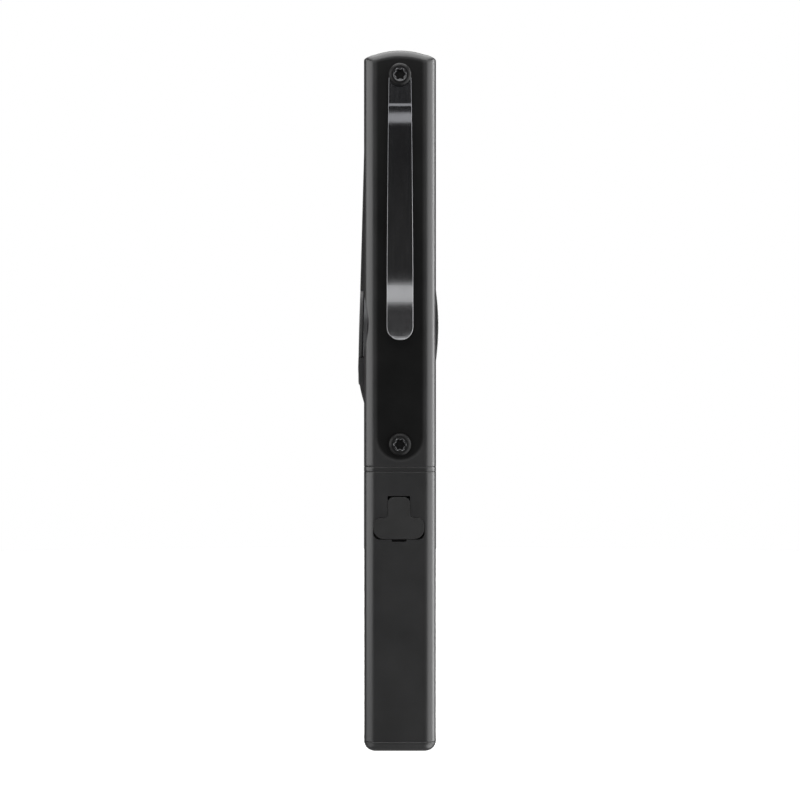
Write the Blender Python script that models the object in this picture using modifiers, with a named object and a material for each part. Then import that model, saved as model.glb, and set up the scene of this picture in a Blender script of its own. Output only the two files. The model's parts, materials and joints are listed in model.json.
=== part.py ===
"""Portable field recorder: a slim stick-shaped housing in two sections with a pocket clip,
a jog wheel on a wedge-shaped control panel, a round rear button and a rubber port cover.

Frame: metres, +Z up, origin at the centre of the flat base on the body's axis.
-Y is the narrow clip side, -X the control face, +X the rear face, +Y the other narrow side.
"""

import math

import bmesh
import bpy
from mathutils import Matrix, Vector

# ---- Driving dimensions -------------------------------------------------------------------
BODY_W = 0.0180            # X, across the clip side
BODY_D = 0.0320            # Y, across the control face
BODY_H = 0.1749            # Z, base to the top of the crown
CORNER_R = 0.0030          # vertical edges
GAP = 0.0003               # clearance between neighbouring pieces
HALF_W = BODY_W / 2
HALF_D = BODY_D / 2

CROWN_RISE = 0.00225       # height of the arched top over its shoulders
CROWN_FILLET = 0.0023

CAP_H = 0.0024             # bottom cap
LOWER_Z0 = CAP_H + GAP
LOWER_Z1 = 0.06965         # top of the battery section
RING_Z0 = LOWER_Z1 + GAP   # band between the two sections
RING_Z1 = 0.07085
UPPER_Z0 = RING_Z1 + GAP   # foot of the upper section
FLOOR_T = 0.0043           # solid foot of the battery section

# Inner space of both sections: thin rear and back walls, thick clip and control walls.
CAVITY_X = (-0.0058, 0.0074)
LOWER_CAVITY_X = (-0.0074, 0.0074)
CAVITY_Y = (-0.0130, 0.0144)
CAVITY_TOP = 0.1700
SPIGOT_Z = (0.0650, 0.0740)
SPIGOT_T = 0.0011

# Clip pocket in the -Y face and the screws in it.
POCKET_HALF = 0.00625
POCKET_DEPTH = 0.0003
POCKET_Z0 = 0.07225
POCKET_FLOOR = -HALF_D + POCKET_DEPTH
CLIP_SCREW_Z = 0.1684
HOUSING_SCREW_Z = 0.0766
SCREW_HEAD_R = 0.0028
SCREW_HEAD_H = 0.0013
SCREW_SHANK_R = 0.0014
SCREW_TIP_Y = -0.0108
SCREW_HOLE_R = 0.0018
TORX_R = 0.00165
TORX_DEPTH = 0.0008

# Pocket clip: a bent strip of spring steel.
CLIP_T = 0.0008
CLIP_ROOT_Z = 0.1633       # below this the strip is free to flex
CLIP_TIP_Z = 0.1023
CLIP_ROOT_W = 0.0053
CLIP_TIP_W = 0.0065
CLIP_OPEN_DEG = 4.0

# Control panel: a wedge that grows from the control face towards its foot.
PANEL_Z0 = 0.0871
PANEL_Z1 = 0.1492
PANEL_HALF = 0.0127
PANEL_BACK = -0.0072
WEDGE_SLOPE = 0.0278
WEDGE_BREAK_Z = 0.0955     # below this the wedge rounds back to the face
POCKET_X = -0.0069         # floor of the panel's pocket

# Jog wheel and select button, on an axis square to the wedge.
WHEEL_Z = 0.1067
WHEEL_R = 0.0152
WELL_R = 0.0156
WHEEL_T = 0.00185
BORE_R = 0.0066
SKIRT_R = 0.0075
HUB_HOLE_R = 0.0079
SELECT_R = 0.0063

# Display.
DISPLAY_Z = (0.1270, 0.1456)
DISPLAY_HALF = 0.0093
LENS_Z = (0.1254, 0.1472)
LENS_HALF = 0.0106
LENS_T = 0.0007
MODULE_T = 0.0007

# Rear button.
REAR_Z = WHEEL_Z
REAR_R = 0.0100
REAR_PROUD = 0.00085
REAR_POCKET_R = 0.0104
REAR_POCKET_X = 0.0082

# Microphones and the status light over the display.
MIC_Y = 0.0060
MIC_Z = 0.1610
STATUS_Z = 0.1514

# Transport buttons under the wedge.
KEY_Z = 0.0790
KEY_PITCH = 0.0085
KEY_R = 0.0032
KEY_PROUD = 0.00015

# Port cover in the -Y face of the battery section.
COVER_X = -0.00028
COVER_Z0 = 0.0530
COVER_SPLIT_Z = 0.0584     # top of the wide lobe
COVER_TOP_Z = 0.0635
COVER_WIDE = 0.00635       # half widths
COVER_NARROW = 0.00275
COVER_T = 0.0012
COVER_RECESS = 0.0019
COVER_AXIS_Y = -0.0154     # hinge line, just behind the flap's upper edge
COVER_AXIS_Z = 0.0624

# Fittings in the base.
TRIPOD_Y = 0.0075
TRIPOD_R = 0.0045
TRIPOD_BORE_R = 0.00255    # minor radius of a 1/4 inch thread
CAP_SCREW_X = 0.0042
CAP_SCREW_Y = -0.0105

# Sockets in the +Y side.
JACK_X = 0.0020
JACK_Z = (0.0800, 0.0910)
JACK_NOSE_R = 0.0026
JACK_BORE_R = 0.0018       # takes a 3.5 mm plug

# Boards.
BOARD_X = (-0.0022, -0.0010)
BOARD_Y = (-0.0105, 0.0125)
BOARD_Z = (0.0750, 0.1660)
SEG_CORNER = 6
SEG_ROUND = 40

# ---- Collections and materials ------------------------------------------------------------
for old in list(bpy.data.objects):
    bpy.data.objects.remove(old, do_unlink=True)

PARTS = bpy.data.collections.new("portable_field_recorder")
CUTTERS = bpy.data.collections.new("cutters")
bpy.context.scene.collection.children.link(PARTS)
bpy.context.scene.collection.children.link(CUTTERS)


def material(name, colour, roughness, metallic=0.0):
    mat = bpy.data.materials.new(name)
    mat.use_nodes = True
    shader = mat.node_tree.nodes["Principled BSDF"]
    shader.inputs["Base Color"].default_value = (*colour, 1.0)
    shader.inputs["Roughness"].default_value = roughness
    shader.inputs["Metallic"].default_value = metallic
    mat.diffuse_color = (*colour, 1.0)
    return mat


# ---- Outlines -----------------------------------------------------------------------------
def arc(cx, cy, radius, start_deg, end_deg, steps):
    """Points on a circular arc, both ends included."""
    points = []
    for i in range(steps + 1):
        angle = math.radians(start_deg + (end_deg - start_deg) * i / steps)
        points.append((cx + radius * math.cos(angle), cy + radius * math.sin(angle)))
    return points


def circle(cx, cy, radius, steps=SEG_ROUND):
    return arc(cx, cy, radius, 0, 360, steps)[:-1]


def rounded_rect(x0, x1, y0, y1, radius, steps=SEG_CORNER):
    return (
        arc(x1 - radius, y0 + radius, radius, -90, 0, steps)
        + arc(x1 - radius, y1 - radius, radius, 0, 90, steps)
        + arc(x0 + radius, y1 - radius, radius, 90, 180, steps)
        + arc(x0 + radius, y0 + radius, radius, 180, 270, steps)
    )


# A prism's outline lies in the plane across its axis: (x, y) for Z, (x, z) for Y, (y, z) for X.
AXIS_TURN = {
    "Z": Matrix.Identity(3),
    "Y": Matrix(((1, 0, 0), (0, 0, -1), (0, 1, 0))),
    "X": Matrix(((0, 0, 1), (1, 0, 0), (0, 1, 0))),
}


# ---- Solids -------------------------------------------------------------------------------
def link(obj, mat=None):
    if mat is None:
        CUTTERS.objects.link(obj)
        obj.hide_render = True
        obj.display_type = "WIRE"
    else:
        PARTS.objects.link(obj)
        obj.data.materials.append(mat)
    return obj


def prism(name, axis, outlines, low, high, mat=None):
    """A flat outline, with any holes as further outlines, filled and extruded from low to high."""
    curve = bpy.data.curves.new(name, "CURVE")
    curve.dimensions = "2D"
    curve.fill_mode = "BOTH"
    curve.extrude = (high - low) / 2
    for outline in outlines:
        spline = curve.splines.new("POLY")
        spline.points.add(len(outline) - 1)
        for point, (u, v) in zip(spline.points, outline):
            point.co = (u, v, 0, 1)
        spline.use_cyclic_u = True
    drawn = bpy.data.objects.new(name + "_outline", curve)
    bpy.context.scene.collection.objects.link(drawn)
    graph = bpy.context.evaluated_depsgraph_get()
    mesh = bpy.data.meshes.new_from_object(drawn.evaluated_get(graph))
    bpy.data.objects.remove(drawn, do_unlink=True)
    bpy.data.curves.remove(curve)
    mesh.name = name
    shape = bmesh.new()
    shape.from_mesh(mesh)
    bmesh.ops.remove_doubles(shape, verts=shape.verts, dist=1e-6)
    bmesh.ops.recalc_face_normals(shape, faces=shape.faces)
    shape.to_mesh(mesh)
    shape.free()
    mesh.materials.clear()
    obj = bpy.data.objects.new(name, mesh)
    turn = AXIS_TURN[axis]
    middle = (low + high) / 2
    along = turn @ Vector((0, 0, 1))
    if axis == "Y":
        along = -along
    obj.matrix_world = Matrix.Translation(along * middle) @ turn.to_4x4()
    return link(obj, mat)


def box(name, low, high, mat=None):
    mesh = bpy.data.meshes.new(name)
    shape = bmesh.new()
    bmesh.ops.create_cube(shape, size=1.0)
    size = [b - a for a, b in zip(low, high)]
    bmesh.ops.scale(shape, vec=size, verts=shape.verts)
    shape.to_mesh(mesh)
    shape.free()
    obj = bpy.data.objects.new(name, mesh)
    obj.location = [(a + b) / 2 for a, b in zip(low, high)]
    return link(obj, mat)


def turned(name, profile, matrix, mat=None, steps=SEG_ROUND):
    """A closed profile of (radius, height) spun around the local Z axis, outer side downwards."""
    mesh = bpy.data.meshes.new(name)
    shape = bmesh.new()
    verts = [shape.verts.new((radius, 0, height)) for radius, height in profile]
    for first, second in zip(verts, verts[1:]):
        shape.edges.new((first, second))
    if profile[0][0] > 0:
        shape.edges.new((verts[-1], verts[0]))
    shape.to_mesh(mesh)
    shape.free()
    obj = bpy.data.objects.new(name, mesh)
    obj.matrix_world = matrix
    spin = obj.modifiers.new("Turn", "SCREW")
    spin.axis = "Z"
    spin.steps = steps
    spin.render_steps = steps
    spin.use_merge_vertices = True
    spin.merge_threshold = 1e-6
    spin.use_smooth_shade = False
    return link(obj, mat)


def boolean(target, tool, operation="DIFFERENCE"):
    step = target.modifiers.new(tool.name, "BOOLEAN")
    step.operation = operation
    step.object = tool
    step.solver = "EXACT"
    return target


def cut(target, *tools):
    for tool in tools:
        boolean(target, tool)


def facing(axis, where):
    """A frame at a point whose local Z looks along the axis."""
    turn = Vector(axis).to_track_quat("Z", "Y").to_matrix().to_4x4()
    return Matrix.Translation(where) @ turn


def cylinder(name, axis, where, radius, low, high, mat=None, steps=SEG_ROUND):
    """A plain round solid between two distances along an axis through a point."""
    profile = [(0, high), (radius, high), (radius, low), (0, low)]
    return turned(name, profile, facing(axis, where), mat, steps)


def hang_from(child, empty):
    """Parents a piece to the empty on its joint axis and leaves it where it stands."""
    world = child.matrix_world.copy()
    child.parent = empty
    child.matrix_parent_inverse = empty.matrix_world.inverted()
    child.matrix_world = world


def joint_empty(name, where, axis):
    empty = bpy.data.objects.new(name, None)
    empty.empty_display_size = 0.004
    empty.matrix_world = facing(axis, where)
    PARTS.objects.link(empty)
    bpy.context.view_layer.update()
    return empty


# ---- Materials ----------------------------------------------------------------------------
SHELL = (0.026, 0.026, 0.027)
MAT_BODY = material("matte_body", SHELL, 0.55)
MAT_RING = material("section_ring", (0.035, 0.035, 0.036), 0.45)
MAT_PANEL = material("control_panel_plastic", (0.024, 0.024, 0.025), 0.45)
MAT_CLIP = material("black_spring_steel", (0.030, 0.031, 0.034), 0.22, 0.9)
MAT_SCREW = material("black_screw_steel", (0.030, 0.030, 0.032), 0.30, 1.0)
MAT_RUBBER = material("port_rubber", (0.036, 0.036, 0.036), 0.75)
MAT_WHEEL = material("wheel_black", (0.020, 0.020, 0.021), 0.35)
MAT_SATIN = material("satin_ring", (0.22, 0.22, 0.23), 0.35, 0.9)
MAT_KEY = material("key_plastic", (0.035, 0.035, 0.036), 0.45)
MAT_RED = material("record_key_plastic", (0.45, 0.02, 0.02), 0.45)
MAT_GLASS = material("display_lens_acrylic", (0.010, 0.010, 0.012), 0.06)
MAT_LCD = material("display_module_glass", (0.05, 0.06, 0.07), 0.25)
MAT_BOARD = material("circuit_board", (0.010, 0.090, 0.035), 0.45)
MAT_CHASSIS = material("aluminium_chassis", (0.60, 0.60, 0.62), 0.35, 1.0)
MAT_STEEL = material("bright_steel", (0.62, 0.62, 0.62), 0.28, 1.0)
MAT_BRASS = material("brass_insert", (0.72, 0.50, 0.22), 0.30, 1.0)
MAT_BLACK = material("component_black", (0.018, 0.018, 0.018), 0.50)
MAT_SILICONE = material("keypad_silicone", (0.12, 0.12, 0.12), 0.70)
MAT_CELL = material("battery_wrap", (0.09, 0.12, 0.28), 0.40)
MAT_LIGHT = material("light_pipe", (0.75, 0.75, 0.75), 0.20)

# Frames shared by the pieces on the wedge.
WHEEL_AXIS = Vector((-1, 0, WEDGE_SLOPE)).normalized()


def wedge_x(z):
    """X of the wedge's sloped face at a height."""
    return -HALF_W - (PANEL_Z1 - z) * WEDGE_SLOPE


WHEEL_CENTRE = Vector((wedge_x(WHEEL_Z), 0, WHEEL_Z))


# ---- Housings -----------------------------------------------------------------------------
def body_outline():
    return rounded_rect(-HALF_W, HALF_W, -HALF_D, HALF_D, CORNER_R)


def crown_outline():
    """The body seen from the clip side: straight sides under a shallow arch."""
    radius = (HALF_W**2 + CROWN_RISE**2) / (2 * CROWN_RISE)
    spread = math.degrees(math.asin(HALF_W / radius))
    arch = arc(0, BODY_H - radius, radius, 90 - spread, 90 + spread, 12)
    return [(HALF_W, 0.0)] + arch + [(-HALF_W, 0.0)]


def crown_side_outline():
    """The body seen from the control face: the crown rounds into both narrow sides."""
    past = 0.00001             # keeps the cutter's walls off the body's own
    half = HALF_D + past
    centre = HALF_D - CROWN_FILLET
    radius = CROWN_FILLET + past
    top = BODY_H + past - CROWN_FILLET
    return (
        [(-half, 0.0), (half, 0.0)]
        + arc(centre, top, radius, 0, 90, SEG_CORNER)
        + arc(-centre, top, radius, 90, 180, SEG_CORNER)
    )


def clip_pocket():
    lower = arc(0, POCKET_Z0 + POCKET_HALF, POCKET_HALF, 180, 360, 16)
    outline = lower + [(POCKET_HALF, 0.180), (-POCKET_HALF, 0.180)]
    return prism("cut_clip_pocket", "Y", [outline], -0.0175, POCKET_FLOOR)


def wheel_well(name, floor_depth):
    """The round well in the control face that the jog wheel turns in."""
    profile = [(0, 0.003), (WELL_R, 0.003), (WELL_R, -floor_depth), (0, -floor_depth)]
    return turned(name, profile, facing(WHEEL_AXIS, WHEEL_CENTRE), steps=56)


def rear_button_bore():
    """A shallow round pocket with the hole for the button's stem in its floor."""
    hole_r = 0.0044
    profile = [
        (0, 0.012), (REAR_POCKET_R, 0.012), (REAR_POCKET_R, REAR_POCKET_X),
        (hole_r, REAR_POCKET_X), (hole_r, 0.0065), (0, 0.0065),
    ]
    return turned("cut_rear_button", profile, facing((1, 0, 0), (0, 0, REAR_Z)))


def make_upper_housing():
    body = prism("upper_housing", "Z", [body_outline()], UPPER_Z0, BODY_H + 0.004, MAT_BODY)
    boolean(body, prism("keep_crown", "Y", [crown_outline()], -0.020, 0.020), "INTERSECT")
    boolean(body, prism("keep_crown_side", "X", [crown_side_outline()], -0.012, 0.012), "INTERSECT")
    cut(
        body,
        box("cut_upper_cavity", (CAVITY_X[0], CAVITY_Y[0], 0.065), (CAVITY_X[1], CAVITY_Y[1], CAVITY_TOP)),
        clip_pocket(),
        box("cut_panel_pocket", (-0.012, -0.0130, 0.0868), (POCKET_X, 0.0130, 0.1495)),
        wheel_well("cut_housing_well", 0.0029),
        cylinder("cut_hub", (-1, 0, 0), (0, 0, WHEEL_Z), HUB_HOLE_R, 0.0050, 0.0085),
        rear_button_bore(),
        box("cut_mic_recess", (-0.0110, -0.01035, 0.15365), (-0.00815, 0.01035, 0.16835)),
        box("cut_rocker", (-0.0023, 0.0135, 0.1330), (0.0023, 0.0180, 0.1490)),
        box("cut_slider", (-0.0018, 0.0135, 0.1535), (0.0018, 0.0180, 0.1630)),
        box("cut_card", (-0.0007, 0.0135, 0.1182), (0.0013, 0.0180, 0.1298)),
        cylinder("cut_status", (-1, 0, 0), (0, 0, STATUS_Z), 0.0010, 0.0050, 0.0100, steps=16),
    )
    for side_sign in (-1, 1):
        where = (0, side_sign * MIC_Y, MIC_Z)
        cut(body, cylinder("cut_mic", (-1, 0, 0), where, 0.0026, 0.0050, 0.0090, steps=24))
    for i in (-1, 0, 1):
        where = (0, i * KEY_PITCH, KEY_Z)
        cut(body, cylinder("cut_key", (-1, 0, 0), where, KEY_R + GAP, 0.0050, 0.0100, steps=32))
    for z in (CLIP_SCREW_Z, HOUSING_SCREW_Z):
        cut(body, cylinder("cut_screw", (0, -1, 0), (0, 0, z), SCREW_HOLE_R, 0.0120, 0.0170, steps=24))
    for z in JACK_Z:
        where = (JACK_X, 0, z)
        cut(body, cylinder("cut_jack", (0, 1, 0), where, JACK_NOSE_R + GAP, 0.0135, 0.0180, steps=24))


def cover_outline(grow):
    """Wide lower lobe with a narrower lobe on top, grown by a margin on every side."""
    wide = COVER_WIDE + grow
    narrow = COVER_NARROW + grow
    low = COVER_Z0 - grow
    mid = COVER_SPLIT_Z + grow
    top = COVER_TOP_Z + grow
    r_wide = 0.0018 + grow
    r_top = 0.0015 + grow
    r_in = 0.0011 - grow
    cx = COVER_X
    return (
        arc(cx + wide - r_wide, low + r_wide, r_wide, -90, 0, 5)
        + arc(cx + wide - r_wide, mid - r_wide, r_wide, 0, 90, 5)
        + arc(cx + narrow + r_in, mid + r_in, r_in, 270, 180, 4)
        + arc(cx + narrow - r_top, top - r_top, r_top, 0, 90, 5)
        + arc(cx - narrow + r_top, top - r_top, r_top, 90, 180, 5)
        + arc(cx - narrow - r_in, mid + r_in, r_in, 360, 270, 4)
        + arc(cx - wide + r_wide, mid - r_wide, r_wide, 90, 180, 5)
        + arc(cx - wide + r_wide, low + r_wide, r_wide, 180, 270, 5)
    )


def make_lower_housing():
    body = prism("lower_housing", "Z", [body_outline()], LOWER_Z0, LOWER_Z1, MAT_BODY)
    recess_y = -HALF_D + COVER_RECESS
    cut(
        body,
        box(
            "cut_lower_cavity",
            (LOWER_CAVITY_X[0], CAVITY_Y[0], LOWER_Z0 + FLOOR_T),
            (LOWER_CAVITY_X[1], CAVITY_Y[1], 0.075),
        ),
        prism("cut_cover_recess", "Y", [cover_outline(GAP)], -0.0175, recess_y),
        box("cut_nail_slot", (-0.00225, -0.0175, 0.05235), (0.00150, recess_y, 0.0532)),
        box("cut_port", (COVER_X - 0.0049, -0.0160, 0.0540), (COVER_X + 0.0049, -0.0120, 0.0585)),
        box("cut_speaker_recess", (0.0084, -0.0063, 0.0497), (0.0110, 0.0123, 0.0643)),
        cylinder("cut_speaker", (1, 0, 0), (0, 0.0030, 0.0570), 0.0060, 0.0060, 0.0095, steps=32),
        cylinder("cut_insert", (0, 0, 1), (0, TRIPOD_Y, 0), TRIPOD_R + GAP, 0.0010, 0.0080, steps=32),
    )
    for side_sign in (-1, 1):
        where = (side_sign * CAP_SCREW_X, CAP_SCREW_Y, 0)
        cut(body, cylinder("cut_cap_screw", (0, 0, 1), where, 0.0013, 0.0010, 0.0080, steps=20))


def make_joint_ring():
    x0, x1 = CAVITY_X[0] + GAP, CAVITY_X[1] - GAP
    y0, y1 = CAVITY_Y[0] + GAP, CAVITY_Y[1] - GAP
    ring = prism("joint_ring", "Z", [body_outline()], RING_Z0, RING_Z1, MAT_RING)
    spigot = prism("add_spigot", "Z", [rounded_rect(x0, x1, y0, y1, 0.0008, 3)], *SPIGOT_Z)
    boolean(ring, spigot, "UNION")
    x0, x1 = x0 + SPIGOT_T, x1 - SPIGOT_T
    y0, y1 = y0 + SPIGOT_T, y1 - SPIGOT_T
    cut(ring, prism("cut_spigot", "Z", [rounded_rect(x0, x1, y0, y1, 0.0006, 3)], 0.060, 0.080))


def make_bottom_cap():
    """A slab whose lower edge is a full quarter round."""
    cap = prism("bottom_cap", "Z", [body_outline()], 0.0, CAP_H, MAT_BODY)
    shape = bmesh.new()
    shape.from_mesh(cap.data)
    lowest = min(v.co.z for v in shape.verts)
    rim = [e for e in shape.edges if e.is_manifold and all(v.co.z < lowest + 1e-6 for v in e.verts)]
    rim = [e for e in rim if abs(e.calc_face_angle(0)) > 0.5]
    bmesh.ops.bevel(
        shape, geom=rim, offset=CAP_H - 0.0003, offset_type="OFFSET", segments=3, profile=0.5, affect="EDGES"
    )
    shape.to_mesh(cap.data)
    shape.free()
    where = (0, TRIPOD_Y, 0)
    cut(cap, cylinder("cut_cap_insert", (0, 0, 1), where, TRIPOD_R + GAP, -0.001, 0.004, steps=32))
    for side_sign in (-1, 1):
        where = (side_sign * CAP_SCREW_X, CAP_SCREW_Y, 0)
        cut(
            cap,
            cylinder("cut_cap_head", (0, 0, 1), where, 0.0019, -0.001, 0.0013, steps=20),
            cylinder("cut_cap_shank", (0, 0, 1), where, 0.0013, 0.0005, 0.004, steps=20),
        )


def make_base_fittings():
    top = 0.0067
    profile = [(TRIPOD_BORE_R, top), (TRIPOD_R, top), (TRIPOD_R, 0.0), (TRIPOD_BORE_R, 0.0)]
    turned("tripod_insert", profile, Matrix.Translation((0, TRIPOD_Y, 0)), MAT_BRASS, 32)
    for i, side_sign in enumerate((-1, 1), 1):
        profile = [
            (0, 0.0066), (0.0010, 0.0066), (0.0010, 0.0010), (0.0016, 0.0010), (0.0016, 0.0001),
            (0.0007, 0.0001), (0.0007, 0.0006), (0, 0.0006),
        ]
        where = Matrix.Translation((side_sign * CAP_SCREW_X, CAP_SCREW_Y, 0))
        turned(f"cap_screw_{i}", profile, where, MAT_SCREW, 20)


# ---- Clip side ----------------------------------------------------------------------------
def torx_outline(radius, steps=2):
    """Six rounded lobes with six concave flutes between them."""
    points = []
    count = 6 * 2 * steps
    for i in range(count):
        angle = 2 * math.pi * i / count
        reach = radius * (0.86 + 0.14 * math.cos(6 * angle))
        points.append((reach * math.cos(angle), reach * math.sin(angle)))
    return points


def make_socket_screw(name, z, seat_y):
    """Low domed head on the clip side, with a six-lobed socket and a plain shank."""
    head = SCREW_HEAD_H
    shank = abs(SCREW_TIP_Y - seat_y)
    profile = [
        (0, head), (0.55 * SCREW_HEAD_R, head), (0.85 * SCREW_HEAD_R, 0.80 * head),
        (SCREW_HEAD_R, 0.40 * head), (SCREW_HEAD_R, 0), (SCREW_SHANK_R, 0),
        (SCREW_SHANK_R, -shank), (0, -shank),
    ]
    screw = turned(name, profile, facing((0, -1, 0), (0, seat_y, z)), MAT_SCREW, 32)
    outline = [(u, v + z) for u, v in torx_outline(TORX_R)]
    top = seat_y - head
    cut(screw, prism("cut_torx", "Y", [outline], top - 0.001, top + TORX_DEPTH))
    return screw


def clip_half_width(z):
    """Half width of the strip: narrow at its root and wider towards the tip."""
    along = (CLIP_SCREW_Z - z) / (CLIP_SCREW_Z - 0.125)
    along = min(max(along, 0.0), 1.0)
    return (CLIP_ROOT_W + (CLIP_TIP_W - CLIP_ROOT_W) * along**0.6) / 2


def clip_centreline():
    """(z, y) points down the free strip: out on a ramp, straight, then a flared tip."""
    turns = (
        (0.0008, None, 1),      # straight length
        (0.0051, 14.5, 5),      # bend radius, direction reached in degrees out of vertical, steps
        (0.0193, -0.5, 8),
        (0.03475, None, 1),
        (0.0372, 17.0, 8),
    )
    z, y, heading = CLIP_ROOT_Z - GAP, POCKET_FLOOR - GAP - CLIP_T / 2, 0.0
    points = [(z, y)]
    for size, target, steps in turns:
        if target is None:
            z -= size * math.cos(math.radians(heading))
            y -= size * math.sin(math.radians(heading))
            points.append((z, y))
            continue
        step = (target - heading) / steps
        for _ in range(steps):
            chord = 2 * size * math.sin(math.radians(abs(step) / 2))
            middle = math.radians(heading + step / 2)
            z -= chord * math.cos(middle)
            y -= chord * math.sin(middle)
            heading += step
            points.append((z, y))
    rest = (z - CLIP_TIP_Z) / math.cos(math.radians(heading))
    y -= rest * math.sin(math.radians(heading))
    points.append((CLIP_TIP_Z, y))
    return points


def make_clip():
    """The strip is a side outline extruded across X, trimmed by its front outline."""
    outline = arc(0, CLIP_SCREW_Z, CLIP_ROOT_W / 2, 0, 180, 12)
    outline += [(-clip_half_width(CLIP_ROOT_Z), CLIP_ROOT_Z), (clip_half_width(CLIP_ROOT_Z), CLIP_ROOT_Z)]
    y1 = POCKET_FLOOR - GAP
    hole = circle(0, CLIP_SCREW_Z, SCREW_HOLE_R, 24)
    prism("clip_eye", "Y", [outline, hole], y1 - CLIP_T, y1, MAT_CLIP)

    line = clip_centreline()
    front, back = [], []
    for i, (z, y) in enumerate(line):
        z_a, y_a = line[max(i - 1, 0)]
        z_b, y_b = line[min(i + 1, len(line) - 1)]
        along = Vector((z_b - z_a, y_b - y_a)).normalized()
        across = Vector((-along.y, along.x)) * CLIP_T / 2
        front.append((y + across.y, z + across.x))
        back.append((y - across.y, z - across.x))
    strip = prism("clip_blade", "X", [front + back[::-1]], -0.005, 0.005, MAT_CLIP)
    half = CLIP_TIP_W / 2
    tip = arc(0, CLIP_TIP_Z + half, half, 180, 360, 16)
    levels = [0.125, 0.140, 0.150, 0.157, CLIP_ROOT_Z + 0.001]
    right = [(clip_half_width(z), z) for z in levels]
    left = [(-u, z) for u, z in reversed(right)]
    boolean(strip, prism("keep_clip", "Y", [tip + right + left], -0.030, -0.010), "INTERSECT")
    hang_from(strip, joint_empty("clip_flex", (0, POCKET_FLOOR - GAP - CLIP_T / 2, CLIP_ROOT_Z), (1, 0, 0)))


def make_port_cover():
    front = -HALF_D
    back = front + COVER_T
    cover = prism("port_cover", "Y", [cover_outline(0.0)], front, back, MAT_RUBBER)
    plug_outline = rounded_rect(COVER_X - 0.0040, COVER_X + 0.0040, 0.0551, 0.0575, 0.0011, 4)
    plug = prism("add_plug", "Y", [plug_outline], back - 0.0005, -0.0134)
    boolean(cover, plug, "UNION")
    hang_from(cover, joint_empty("cover_hinge", (COVER_X, COVER_AXIS_Y, COVER_AXIS_Z), (-1, 0, 0)))


# ---- Control face -------------------------------------------------------------------------
def panel_outline():
    """The wedge seen from the clip side, as (x, z)."""
    peak = wedge_x(WEDGE_BREAK_Z)
    foot = [(PANEL_BACK, PANEL_Z0), (-HALF_W, PANEL_Z0)]
    steps = 7
    for i in range(1, steps + 1):
        t = i / steps
        z = PANEL_Z0 + (WEDGE_BREAK_Z - PANEL_Z0) * t
        x = -HALF_W + (peak + HALF_W) * (1 - (1 - t) ** 2)
        foot.append((x, z))
    return foot + [(-HALF_W, PANEL_Z1), (PANEL_BACK, PANEL_Z1)]


def wedge_slab(name, half, z0, z1, top, depth, mat=None):
    """A slab parallel to the wedge's face, from top above it to depth below it."""
    middle = (z0 + z1) / 2
    tilt = math.atan(WEDGE_SLOPE)
    slab = box(name, (-depth, -half, -(z1 - z0) / 2), (top, half, (z1 - z0) / 2), mat)
    offset = slab.location.copy()
    turn = Matrix.Rotation(math.pi - tilt, 4, "Y") @ Matrix.Translation(offset)
    slab.matrix_world = Matrix.Translation((wedge_x(middle), 0, middle)) @ turn
    return slab


def make_control_panel():
    panel = prism("control_panel", "Y", [panel_outline()], -PANEL_HALF, PANEL_HALF, MAT_PANEL)
    cut(
        panel,
        wheel_well("cut_panel_well", WHEEL_T + GAP),
        cylinder("cut_panel_hub", (-1, 0, 0), (0, 0, WHEEL_Z), HUB_HOLE_R, 0.0050, 0.0095),
        wedge_slab("cut_lens", LENS_HALF, *LENS_Z, 0.001, LENS_T + GAP),
        box("cut_module", (-0.0120, -DISPLAY_HALF, DISPLAY_Z[0]), (-0.0060, DISPLAY_HALF, DISPLAY_Z[1])),
    )
    low, high = LENS_Z[0] + GAP, LENS_Z[1] - GAP
    wedge_slab("display_lens", LENS_HALF - GAP, low, high, 0.0, LENS_T, MAT_GLASS)
    low, high = DISPLAY_Z[0] + GAP, DISPLAY_Z[1] - GAP
    seat = LENS_T + GAP
    wedge_slab("display_module", DISPLAY_HALF - GAP, low, high, -seat, seat + MODULE_T, MAT_LCD)
    return panel


def make_jog_wheel():
    frame = facing(WHEEL_AXIS, WHEEL_CENTRE)
    axis = joint_empty("jog_axis", WHEEL_CENTRE, WHEEL_AXIS)
    cap_t = 0.0009
    skirt_end = -0.0052
    cap = [
        (BORE_R, -0.0004), (0.0080, -0.0003), (0.0110, -0.0001), (WHEEL_R - 0.0003, 0.0),
        (WHEEL_R, -0.0003), (WHEEL_R, -cap_t), (SKIRT_R, -cap_t), (SKIRT_R, skirt_end),
        (BORE_R, skirt_end),
    ]
    hang_from(turned("jog_wheel", cap, frame, MAT_WHEEL, 48), axis)
    top = -cap_t - GAP
    inner, outer = SKIRT_R + GAP, WHEEL_R - 0.0002
    ring = [(inner, top), (outer, top), (outer, -WHEEL_T), (inner, -WHEEL_T)]
    hang_from(turned("jog_ring", ring, frame, MAT_SATIN, 48), axis)
    select = [
        (0, -0.0006), (0.6 * SELECT_R, -0.0006), (SELECT_R - 0.0003, -0.0003), (SELECT_R, -0.0006),
        (SELECT_R, -0.0020), (0.0025, -0.0020), (0.0025, -0.0056), (0, -0.0056),
    ]
    hang_from(turned("select_button", select, frame, MAT_KEY, 32), axis)
    encoder = [(0.0079, 0.00545), (0.0104, 0.00545), (0.0104, 0.0026), (0.0079, 0.0026)]
    turned("jog_encoder", encoder, facing((-1, 0, 0), (0, 0, WHEEL_Z)), MAT_BLACK, 32)
    low, high = (-0.0039, -0.0030, WHEEL_Z - 0.0030), (-0.0025, 0.0030, WHEEL_Z + 0.0030)
    box("select_switch", low, high, MAT_STEEL)


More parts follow.
